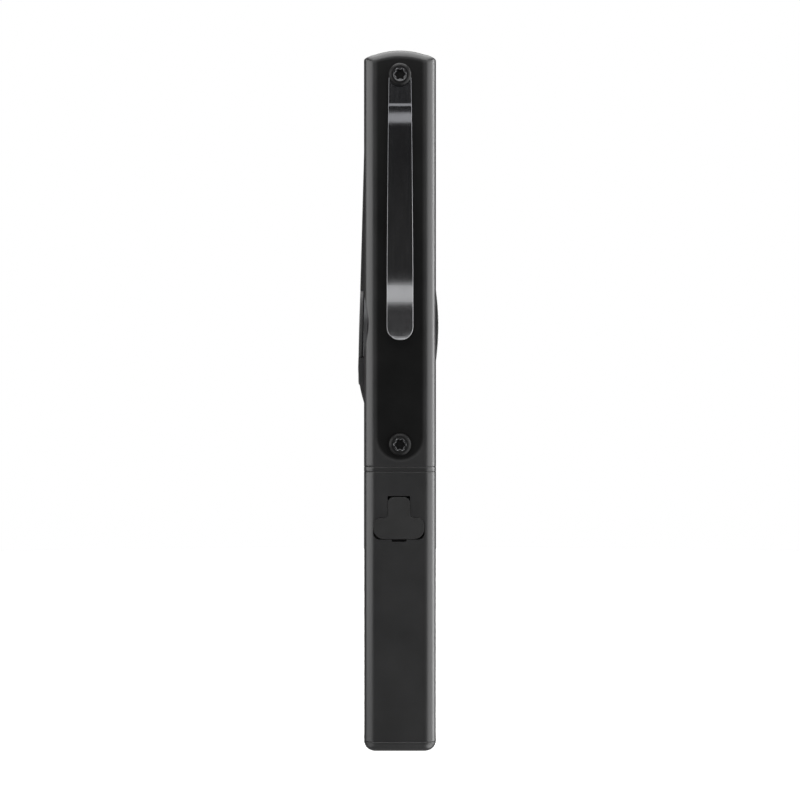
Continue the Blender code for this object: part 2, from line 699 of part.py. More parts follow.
def make_transport_keys():
    names = (("button_record", MAT_RED), ("button_play", MAT_KEY), ("button_stop", MAT_KEY))
    face = HALF_W + KEY_PROUD
    for i, (name, mat) in zip((-1, 0, 1), names):
        profile = [
            (0, face - 0.0001), (KEY_R - 0.0003, face), (KEY_R, face - 0.0003), (KEY_R, 0.0055),
            (0.0038, 0.0055), (0.0038, 0.0050), (0.0015, 0.0050), (0.0015, 0.00445), (0, 0.00445),
        ]
        turned(name, profile, facing((-1, 0, 0), (0, i * KEY_PITCH, KEY_Z)), mat, 28)
    box("keypad_membrane", (-0.0038, -0.0102, 0.0752), (-0.0025, 0.0115, 0.0830), MAT_SILICONE)


def perforated(name, axis, outline, centre, counts, pitch, low, high, mat):
    """A flat grille: rows of small six-sided holes, every other row shifted by half a pitch."""
    holes = []
    for row in range(counts[1]):
        shift = 0.25 * pitch * (1 if row % 2 else -1)
        for column in range(counts[0]):
            u = centre[0] + (column - (counts[0] - 1) / 2) * pitch + shift
            v = centre[1] + (row - (counts[1] - 1) / 2) * pitch * 0.87
            holes.append(circle(u, v, 0.27 * pitch, 6))
    return prism(name, axis, [outline] + holes, low, high, mat)


def make_microphones():
    outline = rounded_rect(-0.0100, 0.0100, 0.1540, 0.1680, 0.0020, 4)
    perforated("mic_grille", "X", outline, (0, MIC_Z), (6, 4), 0.0030, -0.0090, -0.0084, MAT_SCREW)
    for name, side_sign in (("mic_left", -1), ("mic_right", 1)):
        where = (0, side_sign * MIC_Y, MIC_Z)
        cylinder(name, (-1, 0, 0), where, 0.0030, 0.0025, 0.0055, MAT_STEEL, 28)
    profile = [(0, 0.0090), (0.0007, 0.0090), (0.0007, 0.0027), (0, 0.0027)]
    turned("status_light", profile, facing((-1, 0, 0), (0, 0, STATUS_Z)), MAT_LIGHT, 12)


# ---- Rear and back sides ------------------------------------------------------------------
def make_rear_button():
    face = HALF_W + REAR_PROUD
    profile = [
        (0, face), (0.0078, face), (0.0092, face - 0.00012), (0.0098, face - 0.00035),
        (REAR_R, face - 0.0006), (REAR_R, 0.0089), (0.0040, 0.0089), (0.0040, 0.0016), (0, 0.0016),
    ]
    turned("rear_button", profile, facing((1, 0, 0), (0, 0, REAR_Z)), MAT_KEY, 40)
    box("rear_switch", (-0.0007, -0.0030, REAR_Z - 0.0030), (0.0011, 0.0030, REAR_Z + 0.0030), MAT_STEEL)


def make_back_controls():
    rocker = box("volume_rocker", (-0.0020, 0.0140, 0.1333), (0.0020, 0.0164, 0.1487), MAT_KEY)
    edge = rocker.modifiers.new("Edges", "BEVEL")
    edge.width = 0.0004
    edge.segments = 2
    hang_from(rocker, joint_empty("rocker_pivot", (0, 0.0152, 0.1410), (1, 0, 0)))
    slider = box("hold_slider", (-0.0015, 0.0138, 0.1540), (0.0015, 0.0164, 0.1590), MAT_KEY)
    edge = slider.modifiers.new("Edges", "BEVEL")
    edge.width = 0.0003
    edge.segments = 2
    for name, z in zip(("headphone_jack", "line_in_jack"), JACK_Z):
        low, high = (JACK_X - 0.0027, 0.0025, z - 0.0029), (JACK_X + 0.0027, 0.0141, z + 0.0029)
        jack = box(name, low, high, MAT_BLACK)
        where = (JACK_X, 0, z)
        boolean(jack, cylinder("add_nose", (0, 1, 0), where, JACK_NOSE_R, 0.0130, 0.0159, steps=24), "UNION")
        cut(jack, cylinder("cut_bore", (0, 1, 0), where, JACK_BORE_R, 0.0045, 0.0170, steps=24))
    card = box("card_slot", (-0.0004, 0.0014, 0.1185), (0.0010, 0.0158, 0.1295), MAT_STEEL)
    cut(card, box("cut_card_mouth", (0.0000, 0.0030, 0.1192), (0.0007, 0.0170, 0.1288)))


# ---- Inside -------------------------------------------------------------------------------
def make_chassis():
    """An L of sheet aluminium: a spine behind the clip side and a web that carries the board."""
    chassis = box("chassis", (-0.0040, -0.0127, 0.0743), (0.0065, -0.0114, 0.1695), MAT_CHASSIS)
    boolean(chassis, box("add_web", (-0.0007, -0.0120, 0.0790), (0.0003, 0.0010, 0.1640)), "UNION")
    cut(chassis, cylinder("cut_web_window", (1, 0, 0), (0, 0, REAR_Z), 0.0060, -0.0020, 0.0020, steps=24))
    for z in (CLIP_SCREW_Z, HOUSING_SCREW_Z):
        where = (0, 0, z)
        radius = SCREW_HOLE_R - 0.0001
        cut(chassis, cylinder("cut_spine_hole", (0, -1, 0), where, radius, 0.0105, 0.0135, steps=24))

def make_main_board():
    low = (BOARD_X[0], BOARD_Y[0], BOARD_Z[0])
    high = (BOARD_X[1], BOARD_Y[1], BOARD_Z[1])
    board = box("main_board", low, high, MAT_BOARD)
    chassis = bpy.data.objects["chassis"]
    for i, z in enumerate((0.0870, 0.1240, 0.1560), 1):
        where = (0, -0.0075, z)
        hole = cylinder("cut_board_screw", (-1, 0, 0), where, 0.0010, -0.0020, 0.0040, steps=16)
        cut(board, hole)
        cut(chassis, hole)
        profile = [
            (0, 0.0033), (0.0015, 0.0033), (0.0015, 0.0025), (0.0007, 0.0025), (0.0007, 0.0), (0, 0.0),
        ]
        turned(f"board_screw_{i}", profile, facing((-1, 0, 0), where), MAT_STEEL, 16)


def make_lower_internals():
    battery = box("battery_pack", (-0.0069, -0.0124, 0.0074), (0.0069, 0.0138, 0.0460), MAT_CELL)
    edge = battery.modifiers.new("Edges", "BEVEL")
    edge.width = 0.0012
    edge.segments = 3
    box("io_board", (-0.0065, -0.0122, 0.0518), (0.0037, -0.0040, 0.0528), MAT_BOARD)
    shell = [rounded_rect(COVER_X - 0.0045, COVER_X + 0.0045, 0.0547, 0.0579, 0.0015, 4)]
    port = prism("usb_port", "Y", shell, -0.0127, -0.0054, MAT_STEEL)
    mouth = [rounded_rect(COVER_X - 0.0042, COVER_X + 0.0042, 0.0550, 0.0576, 0.0012, 4)]
    cut(port, prism("cut_mouth", "Y", mouth, -0.0140, -0.0064))
    feet = box("add_feet", (COVER_X - 0.0035, -0.0120, 0.0531), (COVER_X + 0.0035, -0.0060, 0.0549))
    boolean(port, feet, "UNION")
    profile = [
        (0, 0.0066), (0.0025, 0.0066), (0.0050, 0.0060), (0.0058, 0.0068), (0.0072, 0.0068),
        (0.0072, 0.0058), (0.0050, 0.0054), (0.0050, 0.0042), (0, 0.0042),
    ]
    turned("speaker", profile, facing((1, 0, 0), (0, 0.0030, 0.0570)), MAT_BLACK, 32)
    outline = rounded_rect(-0.0060, 0.0120, 0.0500, 0.0640, 0.0020, 4)
    perforated("speaker_grille", "X", outline, (0.0030, 0.0570), (5, 4), 0.0030, 0.0087, 0.0090, MAT_SCREW)


# ---- Assembly -----------------------------------------------------------------------------
def shade_round_pieces():
    for obj in PARTS.objects:
        if obj.type == "MESH":
            obj.data.shade_smooth()
            obj.data.set_sharp_from_angle(angle=math.radians(30))


make_upper_housing()
make_lower_housing()
make_joint_ring()
make_bottom_cap()
make_base_fittings()
make_clip()
make_socket_screw("clip_screw", CLIP_SCREW_Z, POCKET_FLOOR - GAP - CLIP_T - GAP)
make_socket_screw("housing_screw", HOUSING_SCREW_Z, POCKET_FLOOR - GAP)
make_port_cover()
make_control_panel()
make_jog_wheel()
make_transport_keys()
make_microphones()
make_rear_button()
make_back_controls()
make_chassis()
make_main_board()
make_lower_internals()
shade_round_pieces()
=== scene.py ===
"""Looks of the portable field recorder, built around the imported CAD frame."""
import json
import math

import bmesh
import bpy
from mathutils import Matrix, Vector


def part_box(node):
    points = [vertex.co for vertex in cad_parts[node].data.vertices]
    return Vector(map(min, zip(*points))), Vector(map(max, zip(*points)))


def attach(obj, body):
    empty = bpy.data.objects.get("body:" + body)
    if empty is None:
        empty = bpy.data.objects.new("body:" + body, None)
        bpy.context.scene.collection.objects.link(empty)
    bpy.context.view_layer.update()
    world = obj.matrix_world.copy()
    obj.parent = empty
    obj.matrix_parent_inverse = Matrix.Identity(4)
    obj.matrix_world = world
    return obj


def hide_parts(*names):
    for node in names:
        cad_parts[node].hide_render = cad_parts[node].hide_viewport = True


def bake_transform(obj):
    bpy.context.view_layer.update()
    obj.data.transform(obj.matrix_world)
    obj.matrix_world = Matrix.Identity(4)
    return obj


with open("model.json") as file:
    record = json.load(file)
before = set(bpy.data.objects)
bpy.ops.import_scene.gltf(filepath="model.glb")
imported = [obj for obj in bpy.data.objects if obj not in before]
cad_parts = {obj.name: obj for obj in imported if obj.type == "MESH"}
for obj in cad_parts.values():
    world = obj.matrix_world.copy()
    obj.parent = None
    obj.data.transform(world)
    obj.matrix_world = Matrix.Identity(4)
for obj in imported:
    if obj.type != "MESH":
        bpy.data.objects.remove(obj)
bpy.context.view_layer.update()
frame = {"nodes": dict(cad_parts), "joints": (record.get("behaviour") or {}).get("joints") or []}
MM = 0.001


# ---- Sizes, from the frame ----------------------------------------------------------------
UP_LO, UP_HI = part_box("upper_housing")
LOW_LO, LOW_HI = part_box("lower_housing")
RING_LO, RING_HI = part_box("joint_ring")
CAP_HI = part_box("bottom_cap")[1]
HALF_W = CAP_HI.x                    # half the body's width, across the clip side
HALF_D = CAP_HI.y                    # half its depth
TOP_Z = UP_HI.z
BODY_R = 3.0 * MM                    # vertical edges
SEAM = 0.05 * MM                     # visible gap between two housing pieces
CAP_SEAM_Z = (CAP_HI.z + LOW_LO.z) / 2
BAND_Z0 = LOW_HI.z + 0.15 * MM
BAND_Z1 = UP_LO.z - 0.15 * MM
CROWN_RISE = 2.25 * MM
CROWN_R = (HALF_W**2 + CROWN_RISE**2) / (2 * CROWN_RISE)
WALL_X = (-5.8 * MM, 7.4 * MM)       # inner space of the upper section
WALL_Y = (-13.0 * MM, 14.4 * MM)


# ---- Mesh helpers -------------------------------------------------------------------------
def arc(cx, cy, radius, start, end, steps):
    """Points of a circular arc, both ends included, angles in degrees."""
    turn = [math.radians(start + (end - start) * i / steps) for i in range(steps + 1)]
    return [(cx + radius * math.cos(a), cy + radius * math.sin(a)) for a in turn]


def circle(cx, cy, radius, steps=64):
    return arc(cx, cy, radius, 0, 360, steps)[:-1]


def rounded_rect(x0, x1, y0, y1, r, steps=8):
    return (
        arc(x1 - r, y0 + r, r, -90, 0, steps) + arc(x1 - r, y1 - r, r, 0, 90, steps)
        + arc(x0 + r, y1 - r, r, 90, 180, steps) + arc(x0 + r, y0 + r, r, 180, 270, steps)
    )


def smooth_step(t):
    t = min(max(t, 0.0), 1.0)
    return t * t * (3 - 2 * t)


def new_object(name, mesh):
    obj = bpy.data.objects.new(name, mesh)
    bpy.context.scene.collection.objects.link(obj)
    return obj


def from_bmesh(name, shape):
    mesh = bpy.data.meshes.new(name)
    bmesh.ops.recalc_face_normals(shape, faces=shape.faces)
    shape.to_mesh(mesh)
    shape.free()
    return new_object(name, mesh)


def lofted(name, rings, close_ends=True):
    """Quads between closed rings of equal length; a ring of one point makes a pole."""
    shape = bmesh.new()
    rows = [[shape.verts.new(p) for p in ring] for ring in rings]
    for low, high in zip(rows, rows[1:]):
        count = max(len(low), len(high))
        for i in range(count):
            j = (i + 1) % count
            if len(low) == 1:
                shape.faces.new((low[0], high[j], high[i]))
            elif len(high) == 1:
                shape.faces.new((low[i], low[j], high[0]))
            else:
                shape.faces.new((low[i], low[j], high[j], high[i]))
    if close_ends:
        for row in (rows[0], rows[-1]):
            if len(row) > 2:
                shape.faces.new(row)
    return from_bmesh(name, shape)


def turned(name, profile, matrix, steps=64):
    """A (radius, height) profile around the local Z axis; off the axis, it closes on itself."""
    rings = []
    for radius, height in profile:
        if radius < 1e-9:
            rings.append([matrix @ Vector((0, 0, height))])
        else:
            rings.append([
                matrix @ Vector((radius * math.cos(a), radius * math.sin(a), height))
                for a in (2 * math.pi * i / steps for i in range(steps))
            ])
    if profile[0][0] > 1e-9:
        rings.append(rings[0])
        obj = lofted(name, rings, close_ends=False)
        weld(obj)
        return obj
    return lofted(name, rings, close_ends=False)


def weld(obj, distance=1e-7):
    shape = bmesh.new()
    shape.from_mesh(obj.data)
    bmesh.ops.remove_doubles(shape, verts=shape.verts, dist=distance)
    bmesh.ops.recalc_face_normals(shape, faces=shape.faces)
    shape.to_mesh(obj.data)
    shape.free()


AXIS_TURN = {
    "Z": Matrix.Identity(3),
    "Y": Matrix(((1, 0, 0), (0, 0, -1), (0, 1, 0))),
    "X": Matrix(((0, 0, 1), (1, 0, 0), (0, 1, 0))),
}


def prism(name, axis, outlines, low, high, round_edge=0.0, round_steps=3):
    """Flat outlines (the first may have holes) filled, extruded along an axis, with rounded rims."""
    curve = bpy.data.curves.new(name, "CURVE")
    curve.dimensions = "2D"
    curve.fill_mode = "BOTH"
    curve.extrude = (high - low) / 2 - round_edge
    curve.bevel_depth = round_edge
    curve.bevel_resolution = round_steps
    curve.offset = -round_edge
    for outline in outlines:
        spline = curve.splines.new("POLY")
        spline.points.add(len(outline) - 1)
        for point, (u, v) in zip(spline.points, outline):
            point.co = (u, v, 0, 1)
        spline.use_cyclic_u = True
    drawn = new_object(name + "_outline", curve)
    graph = bpy.context.evaluated_depsgraph_get()
    mesh = bpy.data.meshes.new_from_object(drawn.evaluated_get(graph))
    bpy.data.objects.remove(drawn, do_unlink=True)
    bpy.data.curves.remove(curve)
    mesh.name = name
    mesh.materials.clear()
    turn = AXIS_TURN[axis].to_4x4()
    middle = (low + high) / 2 * (-1 if axis == "Y" else 1)
    mesh.transform(turn @ Matrix.Translation((0, 0, middle)))
    obj = new_object(name, mesh)
    weld(obj)
    return obj


def box(name, low, high):
    shape = bmesh.new()
    bmesh.ops.create_cube(shape, size=1.0)
    bmesh.ops.scale(shape, vec=[b - a for a, b in zip(low, high)], verts=shape.verts)
    bmesh.ops.translate(shape, vec=[(a + b) / 2 for a, b in zip(low, high)], verts=shape.verts)
    return from_bmesh(name, shape)


def apply_modifiers(obj):
    graph = bpy.context.evaluated_depsgraph_get()
    mesh = bpy.data.meshes.new_from_object(obj.evaluated_get(graph))
    obj.modifiers.clear()
    old = obj.data
    obj.data = mesh
    bpy.data.meshes.remove(old)


def combine(obj, tools, operation="DIFFERENCE"):
    """Applies a Boolean with each tool and removes the tools."""
    for tool in tools:
        step = obj.modifiers.new("Bool", "BOOLEAN")
        step.operation = operation
        step.object = tool
        step.solver = "EXACT"
        apply_modifiers(obj)
        bpy.data.objects.remove(tool, do_unlink=True)
    weld(obj)
    return obj


def soften(obj, width=0.0, segments=2, angle=35.0, sharp=35.0):
    """Rounds the sharp edges, then shades smooth with normals that favour the large faces."""
    if width:
        edge = obj.modifiers.new("Edges", "BEVEL")
        edge.width = width
        edge.segments = segments
        edge.limit_method = "ANGLE"
        edge.angle_limit = math.radians(angle)
        edge.use_clamp_overlap = True
        apply_modifiers(obj)
    obj.data.shade_smooth()
    obj.data.set_sharp_from_angle(angle=math.radians(sharp))
    normals = obj.modifiers.new("Normals", "WEIGHTED_NORMAL")
    normals.keep_sharp = True
    normals.weight = 80
    return obj


def facing(axis, where):
    turn = Vector(axis).to_track_quat("Z", "Y").to_matrix().to_4x4()
    return Matrix.Translation(where) @ turn


def cylinder(name, axis, where, radius, low, high, steps=64):
    return turned(name, [(0, high), (radius, high), (radius, low), (0, low)], facing(axis, where), steps)


def rounded_cut(axis, u, v, radius, low, high, steps=8):
    """A tool for combine with a rounded rectangular section, between two places along an axis."""
    return prism("t", axis, [rounded_rect(*u, *v, radius, steps)], low, high)


def in_mm(*pairs):
    """Pairs of millimetres as a list of pairs of metres."""
    return [(a * MM, b * MM) for a, b in pairs]


def below(face, *pairs):
    """(radius, depth under the face) pairs in millimetres as a profile in metres."""
    return [(radius * MM, face - depth * MM) for radius, depth in pairs]


def extent(node):
    """Low corner, high corner and middle of a CAD node's box."""
    low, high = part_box(node)
    return low, high, (low + high) / 2


def middle_of(node):
    return extent(node)[2]


def place(obj, body, slot, *nodes, material=None):
    """Material, slot (not used), the CAD nodes it stands for, and the body it rides on."""
    if material is not None:
        obj.data.materials.clear()
        obj.data.materials.append(material)
    if nodes:
        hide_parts(*nodes)
    if body is not None:
        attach(obj, body)


# ---- Material helpers ---------------------------------------------------------------------
class Nodes:
    """Short names for adding and joining shader nodes."""

    def __init__(self, name):
        self.material = bpy.data.materials.new(name)
        self.material.use_nodes = True
        self.tree = self.material.node_tree
        self.shader = self.tree.nodes["Principled BSDF"]

    def add(self, kind, **settings):
        node = self.tree.nodes.new("ShaderNode" + kind)
        for key, value in settings.items():
            setattr(node, key, value)
        return node

    def join(self, source, target):
        self.tree.links.new(source, target)

    def math(self, operation, a, b=None, clamp=False):
        node = self.add("Math", operation=operation, use_clamp=clamp)
        for socket, value in zip(node.inputs, (a, b)):
            if value is None:
                continue
            if isinstance(value, (int, float)):
                socket.default_value = value
            else:
                self.join(value, socket)
        return node.outputs[0]

    def coords(self):
        return self.add("TexCoord").outputs["Object"]

    def noise(self, vector, scale, detail=2.0, rough=0.5):
        node = self.add("TexNoise")
        node.inputs["Scale"].default_value = scale
        node.inputs["Detail"].default_value = detail
        node.inputs["Roughness"].default_value = rough
        self.join(vector, node.inputs["Vector"])
        return node.outputs["Fac"]

    def stretch(self, vector, scale):
        node = self.add("Mapping")
        node.inputs["Scale"].default_value = scale
        self.join(vector, node.inputs["Vector"])
        return node.outputs["Vector"]

    def span(self, value, low, high, to_low=0.0, to_high=1.0, smooth=False):
        node = self.add("MapRange")
        node.interpolation_type = "SMOOTHSTEP" if smooth else "LINEAR"
        self.join(value, node.inputs["Value"])
        node.inputs["From Min"].default_value = low
        node.inputs["From Max"].default_value = high
        node.inputs["To Min"].default_value = to_low
        node.inputs["To Max"].default_value = to_high
        return node.outputs["Result"]

    def mix(self, factor, a, b):
        """A colour between a and b; each is a colour tuple or a socket."""
        node = self.add("Mix", data_type="RGBA")
        self.join(factor, node.inputs["Factor"])
        sockets = [s for s in node.inputs if s.type == "RGBA"]
        for socket, value in zip(sockets, (a, b)):
            if isinstance(value, tuple):
                socket.default_value = (*value, 1.0)
            else:
                self.join(value, socket)
        return [s for s in node.outputs if s.type == "RGBA"][0]

    def bump(self, height, strength, distance):
        node = self.add("Bump")
        node.inputs["Strength"].default_value = strength
        node.inputs["Distance"].default_value = distance
        self.join(height, node.inputs["Height"])
        self.join(node.outputs["Normal"], self.shader.inputs["Normal"])

    def edge_mask(self, radius):
        """1 along sharp convex or concave edges, from the bevel normal against the true one."""
        bevel = self.add("Bevel", samples=4)
        bevel.inputs["Radius"].default_value = radius
        geometry = self.add("NewGeometry")
        dot = self.add("VectorMath", operation="DOT_PRODUCT")
        self.join(bevel.outputs["Normal"], dot.inputs[0])
        self.join(geometry.outputs["Normal"], dot.inputs[1])
        return self.span(dot.outputs["Value"], 0.995, 0.80)

    def set(self, name, value):
        self.shader.inputs[name].default_value = value


def grain_plastic(name, dark, light, rough=(0.48, 0.60), grain=0.35, bump=0.012, wear=0.10, size=6500.0):
    """Moulded plastic with a fine spark-eroded grain, faint blotches and slightly polished edges."""
    n = Nodes(name)
    at = n.coords()
    fine = n.noise(at, size, 2.0, 0.6)
    blotch = n.noise(at, 90.0, 3.0, 0.55)
    tone = n.math("ADD", n.math("MULTIPLY", fine, 0.35), n.math("MULTIPLY", blotch, 0.65))
    colour = n.mix(n.span(tone, 0.35, 0.65), dark, light)
    edge = n.math("MULTIPLY", n.edge_mask(0.12 * MM), wear, clamp=True)
    worn = tuple(min(1.0, c * 3.0) for c in light)
    n.join(n.mix(edge, colour, worn), n.shader.inputs["Base Color"])
    low, high = rough
    n.join(n.span(blotch, 0.3, 0.7, low, high), n.shader.inputs["Roughness"])
    n.bump(fine, grain, bump * MM)
    return n


def plastic(name, dark, light, *look):
    """The material of a grained plastic; a plain number stands for a grey."""
    dark, light = (c if isinstance(c, tuple) else (c, c, c) for c in (dark, light))
    return grain_plastic(name, dark, light, *look).material


def plain_metal(name, colour, rough=(0.25, 0.38), metallic=1.0, size=900.0, grain=0.15):
    """Machined or plated metal with fine scratches along one way and uneven polish."""
    n = Nodes(name)
    at = n.coords()
    lines = n.noise(n.stretch(at, (1.0, 1.0, 0.06)), size * 6, 3.0, 0.6)
    blotch = n.noise(at, 300.0, 2.0, 0.5)
    low = tuple(c * 0.88 for c in colour)
    n.join(n.mix(n.span(blotch, 0.3, 0.7), low, colour), n.shader.inputs["Base Color"])
    n.join(n.span(lines, 0.3, 0.7, rough[0], rough[1]), n.shader.inputs["Roughness"])
    n.set("Metallic", metallic)
    n.bump(lines, grain, 0.004 * MM)
    return n


# ---- Materials ----------------------------------------------------------------------------
POCKET_ARC_Z = 78.5 * MM      # centre of the pocket's round foot


# Dark colour, light colour, roughness span, grain strength, grain depth in mm, edge wear.
SHELL_LOOK = ((0.0100, 0.0100, 0.0102), (0.0125, 0.0125, 0.0128), (0.31, 0.37), 0.12, 0.004, 0.02)


def make_upper_material():
    """The housing plastic, darker and smoother inside the clip pocket."""
    n = grain_plastic("upper_shell_plastic", *SHELL_LOOK)
    at = n.coords()
    split = n.add("SeparateXYZ")
    n.join(at, split.inputs[0])
    x, y, z = split.outputs
    below = n.math("MAXIMUM", n.math("SUBTRACT", POCKET_ARC_Z, z), 0.0)
    reach = n.math("POWER", n.math("ADD", n.math("POWER", x, 2.0), n.math("POWER", below, 2.0)), 0.5)
    inside = n.span(reach, 6.3 * MM, 5.3 * MM, 0.0, 1.0, smooth=True)
    arch = n.math("ADD", z, n.math("MULTIPLY", n.math("POWER", x, 2.0), 1 / (2 * CROWN_R)))
    crown = n.span(arch, TOP_Z - 1.5 * MM, TOP_Z - 2.6 * MM, 0.0, 1.0, smooth=True)
    front = n.span(y, -15.1 * MM, -15.5 * MM, 0.0, 1.0, smooth=True)
    mask = n.math("MULTIPLY", n.math("MULTIPLY", inside, front), crown)
    old = n.shader.inputs["Base Color"].links[0].from_socket
    n.join(n.mix(mask, old, (0.0015, 0.0015, 0.0015)), n.shader.inputs["Base Color"])
    n.join(n.span(mask, 0.0, 1.0, 0.5, 0.28), n.shader.inputs["Specular IOR Level"])
    return n.material


def make_clip_material():
    """Black plated spring steel: smooth, with very fine draw lines down the strip, and a painted reflection that
    lightens it down the blade.
    """
    n = Nodes("clip_black_steel")
    at = n.coords()
    lines = n.noise(n.stretch(at, (1.0, 1.0, 0.02)), 5000.0, 2.0, 0.6)
    blotch = n.noise(at, 220.0, 3.0, 0.5)
    split = n.add("SeparateXYZ")
    n.join(at, split.inputs[0])
    # Painted reflection: the colour lightens from z 150 mm down to 128 mm and stays light below, standing in for
    # the brighter reflection on the lower blade; the blotch noise adds random tone.
    height = n.span(split.outputs["Z"], 150 * MM, 128 * MM)
    tone = n.math(
        "ADD", n.math("MULTIPLY", n.span(blotch, 0.3, 0.7), 0.15), n.math("MULTIPLY", height, 0.85),
    )
    # The first colour is the dark steel; the second is the painted reflection of the lower blade.
    n.join(n.mix(tone, (0.168, 0.170, 0.180), (0.290, 0.292, 0.300)), n.shader.inputs["Base Color"])
    n.join(n.span(lines, 0.3, 0.7, 0.12, 0.17), n.shader.inputs["Roughness"])
    n.set("Metallic", 1.0)
    n.bump(lines, 0.06, 0.002 * MM)
    return n.material


def make_rubber_material():
    n = grain_plastic(
        "cover_rubber", (0.0085, 0.0085, 0.0085), (0.0110, 0.0110, 0.0110), (0.50, 0.62), 0.3, 0.008,
        0.02, 5200.0,
    )
    n.set("Specular IOR Level", 0.28)
    return n.material


def make_lens_material():
    n = Nodes("lens_smoked")
    at = n.coords()
    n.join(n.span(n.noise(at, 700.0, 3.0), 0.4, 0.8, 0.03, 0.08), n.shader.inputs["Roughness"])
    smear = n.noise(at, 60.0, 2.0)
    n.join(n.mix(smear, (0.004, 0.004, 0.005), (0.009, 0.009, 0.011)), n.shader.inputs["Base Color"])
    n.set("Specular IOR Level", 0.6)
    return n.material


UPPER = make_upper_material()
SHELL = plastic("lower_shell_plastic", *SHELL_LOOK)
BAND = plastic("band_plastic", 0.008, (0.010, 0.010, 0.0102), (0.30, 0.38), 0.12, 0.004, 0.03)
PANEL = plastic(
    "panel_plastic", (0.016, 0.016, 0.0164), (0.020, 0.020, 0.0204), (0.36, 0.44), 0.2, 0.006, 0.04,
)
CLIP = make_clip_material()
SCREW_LOOK = grain_plastic(
    "screw_black_oxide", (0.0022, 0.0022, 0.0023), (0.0035, 0.0035, 0.0036), (0.38, 0.48), 0.1, 0.003,
    0.0,
)
SCREW_LOOK.set("Specular IOR Level", 0.16)
SCREW = SCREW_LOOK.material
SOCKET = plain_metal("socket_steel", (0.16, 0.16, 0.165), (0.16, 0.26)).material
RUBBER = make_rubber_material()
WHEEL = plastic("wheel_plastic", (0.012, 0.012, 0.0125), (0.017, 0.017, 0.0175), (0.34, 0.44), 0.2, 0.008)
SATIN = plain_metal("wheel_ring_satin", (0.16, 0.16, 0.165), (0.30, 0.42)).material
KEYS = plastic("key_plastic", 0.022, 0.028, (0.40, 0.50), 0.2, 0.008)
RED = plastic(
    "record_key_plastic", (0.30, 0.012, 0.010), (0.38, 0.018, 0.014), (0.38, 0.48), 0.2, 0.008, 0.05,
)
REAR = plastic(
    "rear_button_plastic", (0.006, 0.006, 0.0062), (0.008, 0.008, 0.0082), (0.14, 0.20), 0.05, 0.003,
    0.0,
)
MARK = plastic("printed_mark", 0.35, 0.42, (0.5, 0.6), 0.1, 0.004, 0.0)
LENS = make_lens_material()
GRILLE = plain_metal("grille_black_steel", (0.06, 0.06, 0.062), (0.32, 0.45)).material
BRASS = plain_metal("insert_brass", (0.62, 0.42, 0.17), (0.25, 0.38)).material
STEEL = plain_metal("part_steel", (0.55, 0.55, 0.56), (0.25, 0.38)).material
ALLOY = plain_metal("chassis_alloy", (0.60, 0.60, 0.62), (0.32, 0.45)).material
DARK = plastic("component_plastic", 0.012, 0.018, (0.45, 0.6), 0.2, 0.008)
SILICONE = plastic("keypad_silicone", 0.10, 0.13, (0.6, 0.75), 0.2, 0.01, 0.0)
BOARD = plastic(
    "board_mask", (0.008, 0.06, 0.024), (0.012, 0.085, 0.034), (0.3, 0.4), 0.1, 0.004, 0.0, 1500.0,
)
WRAP = plastic("battery_wrap", (0.07, 0.10, 0.24), (0.10, 0.13, 0.30), (0.3, 0.42), 0.2, 0.01, 0.0, 1200.0)
LIGHT = plastic("light_pipe_plastic", 0.55, 0.65, (0.15, 0.25), 0.1, 0.004, 0.0)


# ---- Housing ------------------------------------------------------------------------------
FACE_STEPS = 28               # points across the clip face, so that the pocket can dish it
POCKET_DISH = 0.04 * MM       # dish along the straight sides
POCKET_FOOT = 0.10 * MM       # further depth at the round foot


def body_ring(inset, corner_steps=14):
    """Body outline moved inwards by inset, as (x, y) all the way round."""
    corners = (
        (HALF_W - BODY_R, -HALF_D + BODY_R), (HALF_W - BODY_R, HALF_D - BODY_R),
        (-HALF_W + BODY_R, HALF_D - BODY_R), (-HALF_W + BODY_R, -HALF_D + BODY_R),
    )
    centres = [at for at in corners for _ in range(corner_steps + 1)]
    span = HALF_W - BODY_R
    centres += [(-span + 2 * span * i / FACE_STEPS, -HALF_D + BODY_R) for i in range(1, FACE_STEPS)]
    points = []
    for (cx, cy), angle in zip(centres, ring_angles(corner_steps)):
        a = math.radians(angle)
        reach = BODY_R - inset
        points.append((cx + reach * math.cos(a), cy + reach * math.sin(a)))
    return points


def ring_angles(corner_steps=14):
    """Outward directions of body_ring's points, in degrees."""
    angles = []
    for start in (-90, 0, 90, 180):
        angles += [start + 90 * i / corner_steps for i in range(corner_steps + 1)]
    return angles + [-90.0] * (FACE_STEPS - 1)


def crown_z(x):
    return TOP_Z - CROWN_R + math.sqrt(CROWN_R**2 - x * x)


def crown_fillet(angle):
    """Fillet radius of the crown's rim: wide over the narrow sides, small over the broad ones."""
    along = abs(math.sin(math.radians(angle)))
    small = 0.75 * MM if math.cos(math.radians(angle)) > 0 else 0.45 * MM
    return small + (2.5 * MM - small) * smooth_step((along - 0.25) / 0.75)


def dish(x, y, z):
    """How far the pocket's floor lies behind the clip face at a point."""
    reach = math.hypot(x, max(POCKET_ARC_Z - z, 0.0))
    side = 1 - smooth_step((reach - 5.5 * MM) / (0.85 * MM))
    front = smooth_step((-y - 14.2 * MM) / (1.0 * MM))
    low = 1 - smooth_step((z - POCKET_ARC_Z) / (6 * MM))
    return (POCKET_DISH + POCKET_FOOT * low) * side * front


def body_section(name, levels):
    """A closed stack of body outlines: (z, inset) pairs from the bottom up."""
    rings = []
    for z, inset in levels:
        rings.append([Vector((x, y, z)) for x, y in body_ring(inset)])
    return lofted(name, rings)


def rounded_levels(z0, z1, r0, r1, steps=3):
    """Straight walls with quarter-round rims of radius r0 below and r1 above."""
    levels = []
    for i in range(steps + 1):
        a = math.radians(90 * i / steps)
        levels.append((z0 + r0 - r0 * math.cos(a), r0 - r0 * math.sin(a)))
    for i in range(steps + 1):
        a = math.radians(90 * i / steps)
        levels.append((z1 - r1 + r1 * math.sin(a), r1 - r1 * math.cos(a)))
    return levels


